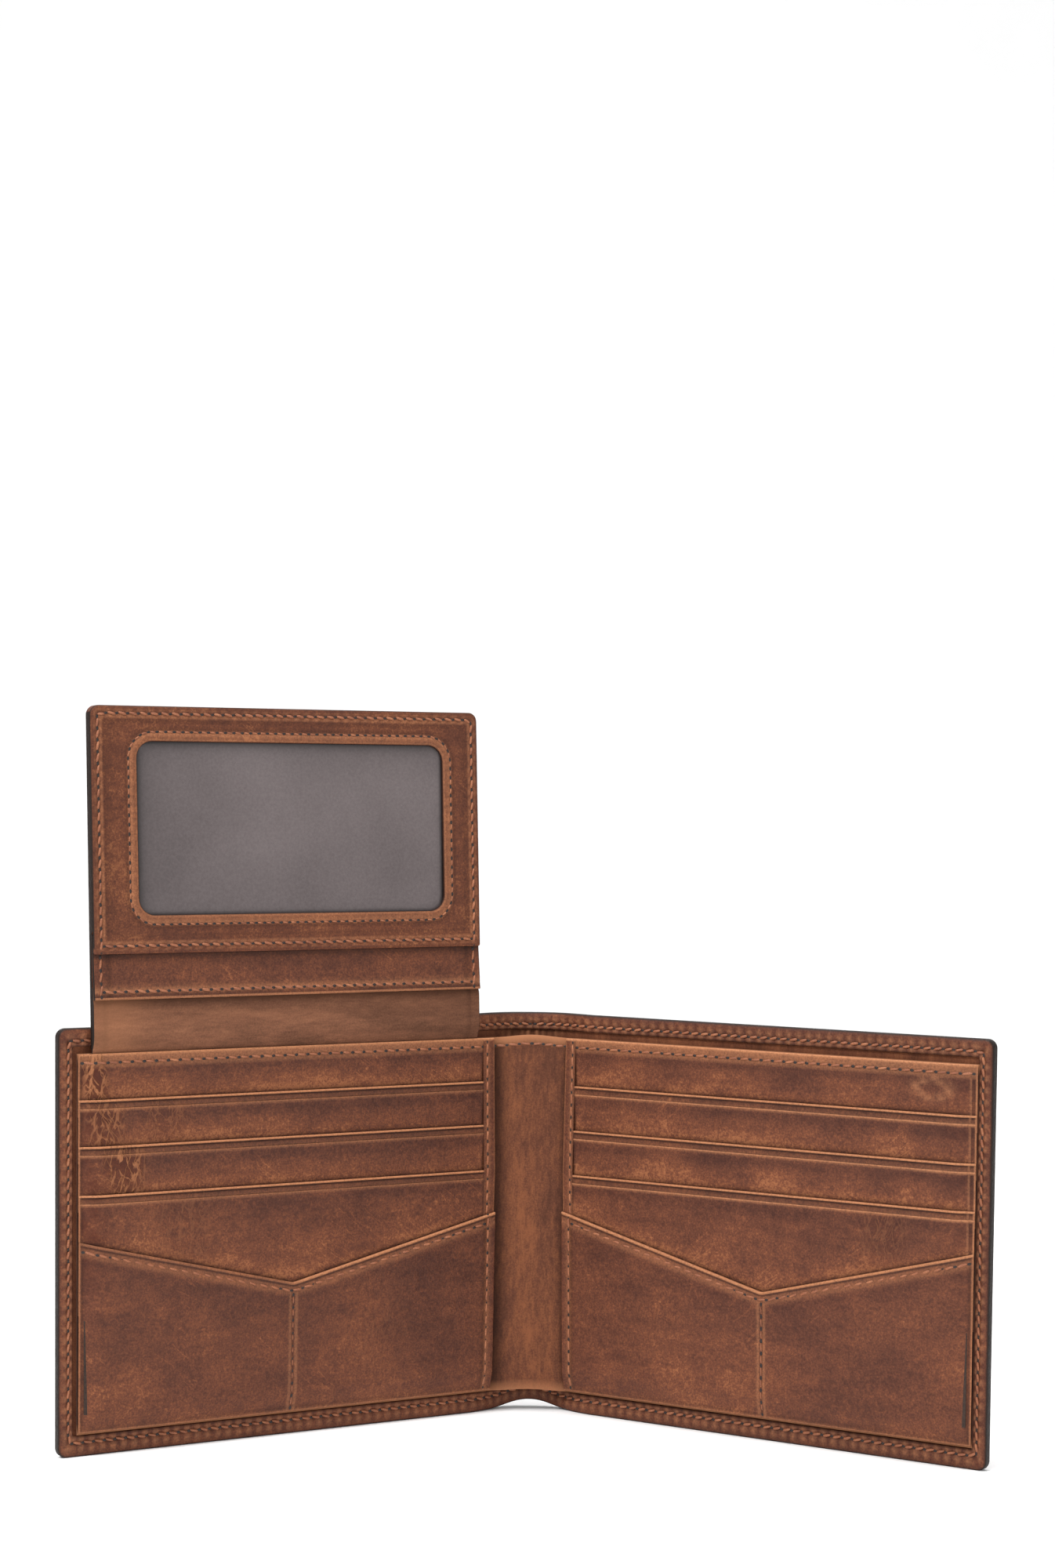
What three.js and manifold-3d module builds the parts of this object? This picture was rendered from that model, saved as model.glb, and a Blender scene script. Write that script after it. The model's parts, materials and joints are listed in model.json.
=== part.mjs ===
// A bifold wallet standing half open on its bottom edge: two halves of sewn leather layers, a soft
// spine between them, and a window flap hinged on the top edge of the left card stack.
//
// Row frame: millimetres, +Z up, standing on z = 0, opening towards -Y, mirrored about x = 0.
// Each half is drawn in its own space: X runs outwards from its fold line, Y points out of its
// inner face, towards the reader, and Z is up. Y = 0 is the back face of the note divider.
import * as THREE from "three";
import { mergeVertices } from "three/addons/utils/BufferGeometryUtils.js";
import Module from "manifold-3d";

const wasm = await Module();
wasm.setup();

// Driving dimensions.
const HALF_WIDTH = 101.8; // fold line to outer edge
const HEIGHT = 89;
const CORNER_RADIUS = 3;
const SPINE_WIDTH = 18.4; // between the two fold lines
const FOLD_ANGLE = THREE.MathUtils.degToRad(32.5); // each half, forward of the spine's plane
const GAP = 0.2; // between layers that lie on each other
const FINE_GAP = 0.15; // between the thinnest layers, and under the sewing thread

// Outer cover, with its edge turned in over the lining as a hem.
const COVER = 1.4;
const HEM = 0.4;
const HEM_WIDTH = 3.1;
const HEM_WALL = 0.8;
const COVER_START = 2.5; // where a half's cover and lining begin, outboard of the fold line
const LINING = 0.3;
const NOTE_SPACE = 0.4; // closed-up note compartment in the halves

// Note divider and the card stacks sewn to it.
const DIVIDER = 0.6;
const DIVIDER_TOP = 83.4;
const DIVIDER_START = 1.2;
const DIVIDER_FOOT = 4.2;
const STACK_OUTER = 98.3;
const STACK_FOOT = 5.1;
const LEATHER = 0.5; // slot strips and pockets
const SLOT_TOPS = [DIVIDER_TOP, 73.5, 63.8, 53.9];
const SLOT_INNER = 1.8;
const SLOT_OVERLAP = 4;
const SLOT_RISE = 0.7; // how far a strip's top edge stands in front of its foot
const TAB = 0.1; // cloth tab that hangs from each slot strip and forms its pocket
const SLOT_DEPTH = 45;
const POCKET_TOP = 44.7;
const POCKET_NOTCH = 32.6; // lowest point of the pocket's V edge
const POCKET_RISE = 0.9;

// Spine: the cover and lining bow backwards behind the plain middle of the divider.
const SPINE_EDGE = 1.6; // how far the spine's cover runs past each fold line
const SPINE_BOW = 4.7;
const SPINE_SQUARENESS = 2.5;
const SPINE_NOTCH = 1.8; // arch cut in the bottom edge of the spine
const STRIP_INSET = 0.6;
const STRIP_BOW = 0.5;
const STRIP_FOOT = 4.7;
const STRIP_CROWN = 0.6;

// Window flap. Its own space has X and Z as the half has, and its hinge axis at the origin.
const FLAP_INNER = 3.2;
const FLAP_OUTER = 94.6;
const FLAP_TALL = 69.8;
const FLAP_FOOT = -0.5;
const FLAP_CORNER = 2;
const FLAP_LEAN = THREE.MathUtils.degToRad(2.4); // backwards, against the cover
const FLAP_AXIS_Y = 3.85;
const FLAP_AXIS_Z = DIVIDER_TOP + 1.5;
const FLAP_OFFSET = -3; // the flap's back face, from its hinge axis
const FLAP_BACK = 0.6;
const FLAP_BASE = 0.4;
const FLAP_BASE_TOP = 12;
const BAND_FOOT = 9.5;
const BAND_TOP = 23;
const BAND_RISE = 0.8;
const FRAME_FOOT = 18.9;
const FRAME_RISE = 0.45;
const FRAME_BACK = 1.75;
const WINDOW = { inner: 12.1, outer: 85.1, foot: 26.8, top: 62.5, radius: 3.5 };
const FILM = 0.3;
const FILM_MARGIN = 3;
const HINGE_TAB = 0.25;
const HINGE_TAB_FOOT = 79;

// Sewing.
const THREAD = 0.2;
const THREAD_WIDTH = 0.4;
const EDGE_SEAM = 1.6; // hem seam to the outer edge
const TOP_SEAM = 1.5; // divider seam to its top edge
const INNER_SEAM = 2.6; // seam along the spine side of a stack, from the fold line
const POCKET_SEAM = 1.3;
const WINDOW_SEAM = 2.2;

const ARC_STEPS = 4;
const SPINE_STEPS = 20;

// Derived places.
const DIVIDER_FRONT = DIVIDER;
const LINING_FRONT = -NOTE_SPACE;
const COVER_FRONT = LINING_FRONT - LINING - GAP;
const COVER_BACK = COVER_FRONT - COVER;
const HEM_BACK = LINING_FRONT + FINE_GAP;
const HEM_FRONT = HEM_BACK + HEM;
const STACK_BACK = DIVIDER_FRONT + GAP;
const SPINE_HALF = SPINE_WIDTH / 2 + SPINE_EDGE;
const SPINE_END_Y = -(COVER_FRONT + COVER_BACK) / 2;
const FRONT_REACH = HALF_WIDTH * Math.sin(FOLD_ANGLE) + HEM_FRONT * Math.cos(FOLD_ANGLE);
const BACK_REACH = SPINE_END_Y + SPINE_BOW + COVER / 2;
const HINGE_Y = (FRONT_REACH - BACK_REACH) / 2; // puts the origin at the middle of the depth

const finishes = {
  leather: { color: 0x7a4630, roughness: 0.55, metalness: 0 },
  lining: { color: 0x6b4330, roughness: 0.75, metalness: 0 },
  cloth: { color: 0x3a2c26, roughness: 0.9, metalness: 0 },
  film: { color: 0x6e6466, roughness: 0.35, metalness: 0 },
  thread: { color: 0xb8713f, roughness: 0.8, metalness: 0 },
};

function addPiece(group, name, finish, geometry) {
  const mesh = new THREE.Mesh(geometry, new THREE.MeshStandardMaterial(finishes[finish]));
  mesh.name = name;
  group.add(mesh);
}

// Solids for joining and cutting.
function solid(geometry) {
  const bare = geometry.clone();
  bare.deleteAttribute("normal");
  bare.deleteAttribute("uv");
  const merged = mergeVertices(bare, 1e-4);
  const mesh = new wasm.Mesh({
    numProp: 3,
    vertProperties: merged.attributes.position.array,
    triVerts: new Uint32Array(merged.index.array),
  });
  return new wasm.Manifold(mesh);
}

function geometryOf(manifold) {
  const mesh = manifold.getMesh();
  const geometry = new THREE.BufferGeometry();
  geometry.setAttribute("position", new THREE.BufferAttribute(mesh.vertProperties, 3));
  geometry.setIndex(new THREE.BufferAttribute(mesh.triVerts, 1));
  geometry.computeVertexNormals();
  return geometry;
}

// A flat sheet whose outline is drawn in X and Z, from Y = back to Y = front.
function slab(outline, back, front) {
  const options = { depth: front - back, bevelEnabled: false, curveSegments: ARC_STEPS };
  const geometry = new THREE.ExtrudeGeometry(outline, options);
  geometry.rotateX(Math.PI / 2);
  return geometry.translate(0, front, 0);
}

// A bar along X whose section is drawn in Y and Z.
function bar(section, start, end) {
  const shape = new THREE.Shape(section.map(([y, z]) => new THREE.Vector2(y, z)));
  const geometry = new THREE.ExtrudeGeometry(shape, { depth: end - start, bevelEnabled: false });
  const axes = new THREE.Matrix4().makeBasis(
    new THREE.Vector3(0, 1, 0),
    new THREE.Vector3(0, 0, 1),
    new THREE.Vector3(1, 0, 0),
  );
  return geometry.applyMatrix4(axes).translate(start, 0, 0);
}

// A rectangle whose corners are rounded by the radii given, and square where none is.
function roundedOutline({ left, right, foot, top, footRight = 0, topRight = 0, topLeft = 0 }) {
  const shape = new THREE.Shape();
  const quarter = Math.PI / 2;
  const corner = (x, z, radius, towardsX, towardsZ, turn) => {
    shape.lineTo(x + towardsX * radius * (turn % 2), z + towardsZ * radius * ((turn + 1) % 2));
    if (radius > 0) {
      const centre = [x + towardsX * radius, z + towardsZ * radius];
      shape.absarc(...centre, radius, (turn - 2) * quarter, (turn - 1) * quarter, false);
    }
  };
  shape.moveTo(left, foot);
  corner(right, foot, footRight, -1, 1, 1);
  corner(right, top, topRight, -1, -1, 2);
  corner(left, top, topLeft, 1, -1, 3);
  return shape;
}

function rectangle(left, right, foot, top) {
  return new THREE.Shape([
    new THREE.Vector2(left, foot),
    new THREE.Vector2(right, foot),
    new THREE.Vector2(right, top),
    new THREE.Vector2(left, top),
  ]);
}

// A closed loop with four equal rounded corners.
function loop(left, right, foot, top, radius) {
  const shape = new THREE.Shape();
  shape.absarc(right - radius, top - radius, radius, 0, Math.PI / 2, false);
  shape.absarc(left + radius, top - radius, radius, Math.PI / 2, Math.PI, false);
  shape.absarc(left + radius, foot + radius, radius, Math.PI, 1.5 * Math.PI, false);
  shape.absarc(right - radius, foot + radius, radius, 1.5 * Math.PI, 2 * Math.PI, false);
  return shape;
}

// A line of sewing thread: an open run of points in X and Z, given the thread's width.
function seamLine(points) {
  const run = points.map(([x, z]) => new THREE.Vector2(x, z));
  const sides = { left: [], right: [] };
  run.forEach((point, i) => {
    const before = run[Math.max(i - 1, 0)];
    const after = run[Math.min(i + 1, run.length - 1)];
    const into = (i === 0 ? after.clone().sub(point) : point.clone().sub(before)).normalize();
    const out = (i === run.length - 1 ? into.clone() : after.clone().sub(point)).normalize();
    const along = into.clone().add(out).normalize();
    const reach = THREAD_WIDTH / 2 / along.dot(into);
    const across = new THREE.Vector2(-along.y, along.x).multiplyScalar(reach);
    sides.left.push(point.clone().add(across));
    sides.right.push(point.clone().sub(across));
  });
  return new THREE.Shape([...sides.left, ...sides.right.reverse()]);
}

// A layer of a stack is a slanting plane: its back face is at footLevel at the foot, topLevel at the top.
function tilt(geometry, layer, offset = 0) {
  const slope = (layer.topLevel - layer.footLevel) / (layer.top - layer.foot);
  const position = geometry.attributes.position;
  for (let i = 0; i < position.count; i += 1) {
    const level = layer.footLevel + slope * (position.getZ(i) - layer.foot);
    position.setY(i, position.getY(i) + level + offset);
  }
  geometry.computeVertexNormals();
  return geometry;
}

function tiltedSheet(outline, layer, thickness) {
  return tilt(slab(outline, 0, thickness), layer);
}

function threadOn(outline, layer, thickness) {
  return tilt(slab(outline, 0, THREAD), layer, thickness + FINE_GAP);
}

const slotLayers = SLOT_TOPS.map((top, i) => {
  const lowest = i < SLOT_TOPS.length - 1 ? SLOT_TOPS[i + 1] : POCKET_NOTCH;
  const footLevel = STACK_BACK + i * (TAB + FINE_GAP);
  return { top, foot: lowest - SLOT_OVERLAP, footLevel, topLevel: footLevel + SLOT_RISE };
});

const pocketLayer = {
  top: POCKET_TOP,
  foot: STACK_FOOT,
  footLevel: STACK_BACK + SLOT_TOPS.length * (TAB + FINE_GAP),
  topLevel: STACK_BACK + SLOT_TOPS.length * (TAB + FINE_GAP) + POCKET_RISE,
};

function coverOutline(inset, start) {
  const radius = CORNER_RADIUS - Math.min(inset, CORNER_RADIUS - 0.5);
  return roundedOutline({
    left: start,
    right: HALF_WIDTH - inset,
    foot: inset,
    top: HEIGHT - inset,
    footRight: radius,
    topRight: radius,
  });
}

// The half's cover: a plate with a wall round its edge and a hem turned in over the lining.
function halfCover() {
  const past = COVER_START - 10;
  const block = solid(slab(coverOutline(0, COVER_START), COVER_BACK, HEM_FRONT));
  const hollow = solid(slab(coverOutline(HEM_WALL, past), COVER_FRONT, HEM_BACK));
  const mouth = solid(slab(coverOutline(HEM_WIDTH, past), HEM_BACK - 0.1, HEM_FRONT + 1));
  return geometryOf(block.subtract(hollow).subtract(mouth));
}

function halfLining() {
  const inset = HEM_WALL + GAP;
  return slab(coverOutline(inset, COVER_START), LINING_FRONT - LINING, LINING_FRONT);
}

function halfDivider() {
  const outline = rectangle(DIVIDER_START, STACK_OUTER, DIVIDER_FOOT, DIVIDER_TOP);
  return slab(outline, 0, DIVIDER_FRONT);
}

function slotStrip(layer, first) {
  const inner = first ? DIVIDER_START : SLOT_INNER;
  return tiltedSheet(rectangle(inner, STACK_OUTER, layer.foot, layer.top), layer, LEATHER);
}

function slotTab(layer) {
  const outline = rectangle(
    SLOT_INNER + 1,
    STACK_OUTER - 1,
    Math.max(layer.top - SLOT_DEPTH, STACK_FOOT + 1),
    layer.foot - FINE_GAP,
  );
  return slab(outline, layer.footLevel, layer.footLevel + TAB);
}

const POCKET_MIDDLE = (DIVIDER_START + STACK_OUTER) / 2;

function pocketSheet() {
  const outline = new THREE.Shape([
    new THREE.Vector2(DIVIDER_START, STACK_FOOT),
    new THREE.Vector2(STACK_OUTER, STACK_FOOT),
    new THREE.Vector2(STACK_OUTER, POCKET_TOP),
    new THREE.Vector2(POCKET_MIDDLE, POCKET_NOTCH),
    new THREE.Vector2(DIVIDER_START, POCKET_TOP),
  ]);
  return tiltedSheet(outline, pocketLayer, LEATHER);
}

// The pocket's seam: a V below its top edge, and a centre line down to the foot.
function pocketSeam() {
  const inset = INNER_SEAM - DIVIDER_START;
  const sink = (POCKET_SEAM * (POCKET_TOP - POCKET_NOTCH)) / (POCKET_MIDDLE - DIVIDER_START);
  const high = POCKET_TOP - POCKET_SEAM - sink;
  const low = POCKET_NOTCH - POCKET_SEAM;
  const vee = seamLine([
    [DIVIDER_START + inset + THREAD_WIDTH, high],
    [POCKET_MIDDLE, low],
    [STACK_OUTER - 0.6, high],
  ]);
  const centre = seamLine([
    [POCKET_MIDDLE, low],
    [POCKET_MIDDLE, STACK_FOOT + 0.6],
  ]);
  const joined = solid(slab(vee, 0, THREAD)).add(solid(slab(centre, 0, THREAD)));
  return tilt(geometryOf(joined), pocketLayer, LEATHER + FINE_GAP);
}

function dividerSeam() {
  const height = DIVIDER_TOP - TOP_SEAM;
  const line = seamLine([
    [INNER_SEAM + THREAD_WIDTH, height],
    [STACK_OUTER - 0.6, height],
  ]);
  return threadOn(line, slotLayers[0], LEATHER);
}

// The seam beside the spine climbs over the front of every layer.
function innerSeam() {
  const over = LEATHER + FINE_GAP;
  const route = [
    [pocketLayer.footLevel + over, STACK_FOOT + 0.6],
    [pocketLayer.topLevel + over, POCKET_TOP],
    [slotLayers[0].topLevel + over, DIVIDER_TOP - 0.6],
  ];
  const front = route.map(([y, z]) => [y + THREAD, z]).reverse();
  return bar([...route, ...front], INNER_SEAM - THREAD_WIDTH / 2, INNER_SEAM + THREAD_WIDTH / 2);
}

function hemSeam() {
  const line = seamLine([
    [COVER_START + 1, EDGE_SEAM],
    [HALF_WIDTH - EDGE_SEAM, EDGE_SEAM],
    [HALF_WIDTH - EDGE_SEAM, HEIGHT - EDGE_SEAM],
    [COVER_START + 1, HEIGHT - EDGE_SEAM],
  ]);
  return slab(line, HEM_FRONT + FINE_GAP, HEM_FRONT + FINE_GAP + THREAD);
}

// An upright sheet bowed backwards between the halves. Its middle line is at edgeY at each end.
function bowedSheet({ half, edgeY, bow, thickness, shift, foot, top, footArch, topArch }) {
  const rise = (x) => 1 - Math.abs(x / half) ** SPINE_SQUARENESS;
  const line = [];
  for (let i = 0; i <= SPINE_STEPS; i += 1) {
    const x = half * (-1 + (2 * i) / SPINE_STEPS);
    line.push(new THREE.Vector2(x, edgeY + bow * rise(x)));
  }
  const offset = (distance) =>
    line.map((point, i) => {
      const before = line[Math.max(i - 1, 0)];
      const after = line[Math.min(i + 1, line.length - 1)];
      const along = after.clone().sub(before).normalize();
      return new THREE.Vector2(point.x - along.y * distance, point.y + along.x * distance);
    });
  const outline = [...offset(shift - thickness / 2), ...offset(shift + thickness / 2).reverse()];
  const options = { depth: top - foot, bevelEnabled: false };
  const geometry = new THREE.ExtrudeGeometry(new THREE.Shape(outline), options);
  const position = geometry.attributes.position;
  for (let i = 0; i < position.count; i += 1) {
    const arch = Math.cos((Math.PI / 2) * Math.min(Math.abs(position.getX(i)) / half, 1)) ** 2;
    const atTop = position.getZ(i) > (top - foot) / 2;
    position.setZ(i, foot + position.getZ(i) + arch * (atTop ? topArch : footArch));
  }
  geometry.computeVertexNormals();
  return geometry.translate(0, HINGE_Y, 0);
}

function spineCover() {
  return bowedSheet({
    half: SPINE_HALF,
    edgeY: SPINE_END_Y,
    bow: SPINE_BOW,
    thickness: COVER,
    shift: 0,
    foot: 0,
    top: HEIGHT,
    footArch: SPINE_NOTCH,
    topArch: 0,
  });
}

function spineLining() {
  return bowedSheet({
    half: SPINE_HALF,
    edgeY: SPINE_END_Y,
    bow: SPINE_BOW,
    thickness: LINING,
    shift: -(COVER / 2 + GAP + LINING / 2),
    foot: HEM_WALL + GAP,
    top: HEIGHT - HEM_WALL - GAP,
    footArch: SPINE_NOTCH,
    topArch: 0,
  });
}

function spineDivider() {
  return bowedSheet({
    half: SPINE_WIDTH / 2 - STRIP_INSET,
    edgeY: -DIVIDER / 2,
    bow: STRIP_BOW,
    thickness: DIVIDER,
    shift: 0,
    foot: STRIP_FOOT,
    top: DIVIDER_TOP,
    footArch: 0,
    topArch: STRIP_CROWN,
  });
}

function spineSeam() {
  const height = DIVIDER_TOP - TOP_SEAM;
  return bowedSheet({
    half: SPINE_WIDTH / 2 - STRIP_INSET - 0.6,
    edgeY: -DIVIDER / 2,
    bow: STRIP_BOW,
    thickness: THREAD,
    shift: -(DIVIDER / 2 + FINE_GAP + THREAD / 2),
    foot: height - THREAD_WIDTH / 2,
    top: height + THREAD_WIDTH / 2,
    footArch: STRIP_CROWN,
    topArch: STRIP_CROWN,
  });
}

const bandLayer = {
  top: BAND_TOP,
  foot: BAND_FOOT,
  footLevel: FLAP_OFFSET + FLAP_BACK + GAP + BAND_RISE,
  topLevel: FLAP_OFFSET + FLAP_BACK + GAP,
};

const frameLayer = {
  top: FLAP_TALL,
  foot: FRAME_FOOT,
  footLevel: FLAP_OFFSET + FRAME_BACK,
  topLevel: FLAP_OFFSET + FRAME_BACK - FRAME_RISE,
};

function flapOutline(foot) {
  return roundedOutline({
    left: FLAP_INNER,
    right: FLAP_OUTER,
    foot,
    top: FLAP_TALL,
    topRight: FLAP_CORNER,
    topLeft: FLAP_CORNER,
  });
}

function windowLoop(margin) {
  return loop(
    WINDOW.inner - margin,
    WINDOW.outer + margin,
    WINDOW.foot - margin,
    WINDOW.top + margin,
    WINDOW.radius + margin,
  );
}

function flapBack() {
  return slab(flapOutline(FLAP_FOOT), FLAP_OFFSET, FLAP_OFFSET + FLAP_BACK);
}

function flapBase() {
  const back = FLAP_OFFSET + FLAP_BACK + GAP;
  return slab(rectangle(FLAP_INNER, FLAP_OUTER, FLAP_FOOT, FLAP_BASE_TOP), back, back + FLAP_BASE);
}

function flapBand() {
  return tiltedSheet(rectangle(FLAP_INNER, FLAP_OUTER, BAND_FOOT, BAND_TOP), bandLayer, LEATHER);
}

function flapFrame() {
  const outline = flapOutline(FRAME_FOOT);
  outline.holes.push(windowLoop(0));
  return tiltedSheet(outline, frameLayer, LEATHER);
}

function windowFilm() {
  const back = FLAP_OFFSET + FLAP_BACK + GAP;
  const outline = rectangle(
    WINDOW.inner - FILM_MARGIN,
    WINDOW.outer + FILM_MARGIN,
    Math.max(WINDOW.foot - FILM_MARGIN, BAND_TOP + GAP),
    WINDOW.top + FILM_MARGIN,
  );
  return slab(outline, back, back + FILM);
}

function flapHingeTab() {
  const outline = rectangle(FLAP_INNER, FLAP_OUTER, HINGE_TAB_FOOT, DIVIDER_TOP + 0.3);
  return slab(outline, STACK_BACK, STACK_BACK + HINGE_TAB);
}

function flapEdgeSeam() {
  const line = seamLine([
    [FLAP_INNER + EDGE_SEAM, FRAME_FOOT + 0.6],
    [FLAP_INNER + EDGE_SEAM, FLAP_TALL - EDGE_SEAM],
    [FLAP_OUTER - EDGE_SEAM, FLAP_TALL - EDGE_SEAM],
    [FLAP_OUTER - EDGE_SEAM, FRAME_FOOT + 0.6],
  ]);
  return threadOn(line, frameLayer, LEATHER);
}

function windowSeam() {
  const outline = windowLoop(WINDOW_SEAM + THREAD_WIDTH / 2);
  outline.holes.push(windowLoop(WINDOW_SEAM - THREAD_WIDTH / 2));
  return threadOn(outline, frameLayer, LEATHER);
}

// A seam across the flap just above the lower edge of its frame or band.
function flapCrossSeam(layer) {
  const inset = EDGE_SEAM + THREAD_WIDTH;
  const line = seamLine([
    [FLAP_INNER + inset, layer.foot + POCKET_SEAM],
    [FLAP_OUTER - inset, layer.foot + POCKET_SEAM],
  ]);
  return threadOn(line, layer, LEATHER);
}

function buildHalf(side) {
  const mirror = new THREE.Group();
  mirror.scale.x = side === "right" ? -1 : 1;
  const half = new THREE.Group();
  half.position.set(-SPINE_WIDTH / 2, HINGE_Y, 0);
  half.rotation.z = Math.PI + FOLD_ANGLE;
  mirror.add(half);
  addPiece(half, `cover_${side}`, "leather", halfCover());
  addPiece(half, `note_lining_${side}`, "lining", halfLining());
  addPiece(half, `note_divider_${side}`, "leather", halfDivider());
  slotLayers.forEach((layer, i) => {
    addPiece(half, `card_slot_${i + 1}_${side}`, "leather", slotStrip(layer, i === 0));
    addPiece(half, `slot_lining_${i + 1}_${side}`, "cloth", slotTab(layer));
  });
  addPiece(half, `v_pocket_${side}`, "leather", pocketSheet());
  addPiece(half, `divider_top_seam_${side}`, "thread", dividerSeam());
  addPiece(half, `v_pocket_seam_${side}`, "thread", pocketSeam());
  addPiece(half, `stack_inner_seam_${side}`, "thread", innerSeam());
  addPiece(half, `hem_seam_${side}`, "thread", hemSeam());
  return { mirror, half };
}

function buildSpine() {
  const spine = new THREE.Group();
  addPiece(spine, "cover_spine", "leather", spineCover());
  addPiece(spine, "note_lining_spine", "lining", spineLining());
  addPiece(spine, "note_divider_spine", "leather", spineDivider());
  addPiece(spine, "divider_top_seam_spine", "thread", spineSeam());
  return spine;
}

function buildFlap() {
  const flap = new THREE.Group();
  flap.position.set(0, FLAP_AXIS_Y, FLAP_AXIS_Z);
  flap.rotation.x = FLAP_LEAN;
  addPiece(flap, "flap_back", "leather", flapBack());
  addPiece(flap, "flap_base", "lining", flapBase());
  addPiece(flap, "flap_pocket_band", "leather", flapBand());
  addPiece(flap, "flap_window_frame", "leather", flapFrame());
  addPiece(flap, "flap_window_film", "film", windowFilm());
  addPiece(flap, "flap_edge_seam", "thread", flapEdgeSeam());
  addPiece(flap, "flap_window_seam", "thread", windowSeam());
  addPiece(flap, "flap_frame_seam", "thread", flapCrossSeam(frameLayer));
  addPiece(flap, "flap_band_seam", "thread", flapCrossSeam(bandLayer));
  return flap;
}

const wallet = new THREE.Group();
const left = buildHalf("left");
const right = buildHalf("right");
addPiece(left.half, "flap_hinge_tab", "leather", flapHingeTab());
left.half.add(buildFlap());
wallet.add(left.mirror, right.mirror, buildSpine());

export default wallet;
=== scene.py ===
import functools
import json
import math

import bmesh
import bpy
import numpy as np
from mathutils import Matrix, Vector


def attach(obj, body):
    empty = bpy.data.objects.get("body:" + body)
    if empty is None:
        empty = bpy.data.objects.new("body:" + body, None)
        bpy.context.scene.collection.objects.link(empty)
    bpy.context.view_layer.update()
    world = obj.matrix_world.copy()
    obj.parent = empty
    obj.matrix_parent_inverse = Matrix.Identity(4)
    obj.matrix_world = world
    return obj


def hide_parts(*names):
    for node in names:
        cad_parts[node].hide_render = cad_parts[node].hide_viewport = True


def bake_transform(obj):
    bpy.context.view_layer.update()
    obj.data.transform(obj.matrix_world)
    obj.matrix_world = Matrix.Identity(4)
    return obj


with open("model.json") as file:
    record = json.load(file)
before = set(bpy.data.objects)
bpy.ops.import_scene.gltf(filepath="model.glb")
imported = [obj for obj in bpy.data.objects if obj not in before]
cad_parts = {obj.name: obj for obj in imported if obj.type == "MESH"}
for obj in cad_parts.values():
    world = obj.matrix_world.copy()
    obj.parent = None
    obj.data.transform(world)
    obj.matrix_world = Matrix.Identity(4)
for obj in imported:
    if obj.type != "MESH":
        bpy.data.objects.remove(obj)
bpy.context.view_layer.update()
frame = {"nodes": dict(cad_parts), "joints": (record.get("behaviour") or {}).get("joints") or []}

MM = 0.001
joints = {joint["name"]: joint for joint in frame["joints"]}

# Places taken from the frame's joints.
SPINE_X = joints["right_fold"]["pos_m"][0] / MM
HINGE_Y = joints["right_fold"]["pos_m"][1] / MM
FOLD = math.radians(-joints["left_fold"]["range_deg"][0])
SIN = math.sin(FOLD)
COS = math.cos(FOLD)
FLAP_AXIS_Z = joints["flap_hinge"]["pos_m"][2] / MM
FLAP_LEAN = math.radians(joints["flap_hinge"]["range_deg"][1] - 180)

# Cover and lining.
HALF_WIDTH = {"left": 102.2, "right": 101.2}
HEIGHT = 88.6
CORNER_RADIUS = 1.9
COVER_FRONT = -0.9
COVER_BACK = -2.3
COVER_MIDDLE = (COVER_FRONT + COVER_BACK) / 2
LINING_BACK = -0.7
LINING_FRONT = -0.4
HEM_BACK = -0.25
HEM_WIDTH = 3.1
HEM_SEAM = 2.1
FOOT_HEM = 1.3  # how much wider the hem is along the foot
TOP_HEM = 0.7  # and along the top
SPINE_HALF = SPINE_X + 1.6
SPINE_BOW = 4.7
SPINE_NOTCH = 1.8
BOW_POWER = 2.5

# Note divider and card stacks.
DIVIDER_FRONT = 0.6
DIVIDER_TOP = 83.4
DIVIDER_FOOT = 4.6
STRIP_HALF = SPINE_X - 0.6
STRIP_BOW = 0.5
STRIP_FOOT = 4.7
STRIP_CROWN = 0.6
STACK_INNER = {"left": 0.1, "right": -0.8}
MARGIN = {"left": 2.8, "right": 2.5}
STACK_OUTER = 98.3
STACK_FOOT = 5.1
LEATHER = 0.5
SLOT_TOPS = {"left": [83.4, 73.9, 64.3, 54.3], "right": [83.4, 73.0, 63.2, 53.4]}
SLOT_OVERLAP = 3.5
SLOT_BACK = 0.8
SLOT_STEP = 0.25
SLOT_RISE = 0.7
POCKET_TOP = 44.7
POCKET_NOTCH = {"left": 33.0, "right": 32.2}
POCKET_BACK = 1.8
POCKET_RISE = 0.9
POCKET_MIDDLE = 49.75
POCKET_REACH = 48.55

# Window flap, from its hinge axis.
FLAP_AXIS_T = 3.85
FLAP_INNER = 4.1
FLAP_OUTER = 95.4
FLAP_TALL = 69.8
FLAP_CORNER = 2.0
FLAP_BACK = -3.2
FLAP_BASE_TOP = 12.0
BAND_FOOT = 9.5
BAND_TOP = 23.0
FRAME_FOOT = 18.9
WINDOW = {"inner": 13.0, "outer": 85.1, "foot": 26.8, "top": 62.5, "radius": 3.5}

# Sewing.
TOP_SEAM = 1.9
INNER_SEAM = {side: inner + 1.9 for side, inner in STACK_INNER.items()}
POCKET_SEAM = 1.8
WINDOW_SEAM = 2.0
STACK_PITCH = 2.7
HEM_PITCH = 2.4
WINDOW_PITCH = 1.95


# ---------------------------------------------------------------- places

def half_place(side):
    """Half space to the row frame."""
    sign = -1 if side == "left" else 1

    def place(u, t, z):
        x = sign * (SPINE_X + u * COS - t * SIN)
        y = HINGE_Y - u * SIN - t * COS
        return np.stack(np.broadcast_arrays(x, y, z), -1) * MM

    return place


def smooth(value):
    """0 to 1 with soft ends, for a value from 0 to 1."""
    value = np.clip(value, 0, 1)
    return value * value * (3 - 2 * value)


def peak(distance, width):
    """1 at a distance of 0, falling off on both sides of it."""
    return np.exp(-((distance / width) ** 2))


def strongest(*shares):
    """The largest of several values at each place."""
    return functools.reduce(np.maximum, shares)


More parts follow.
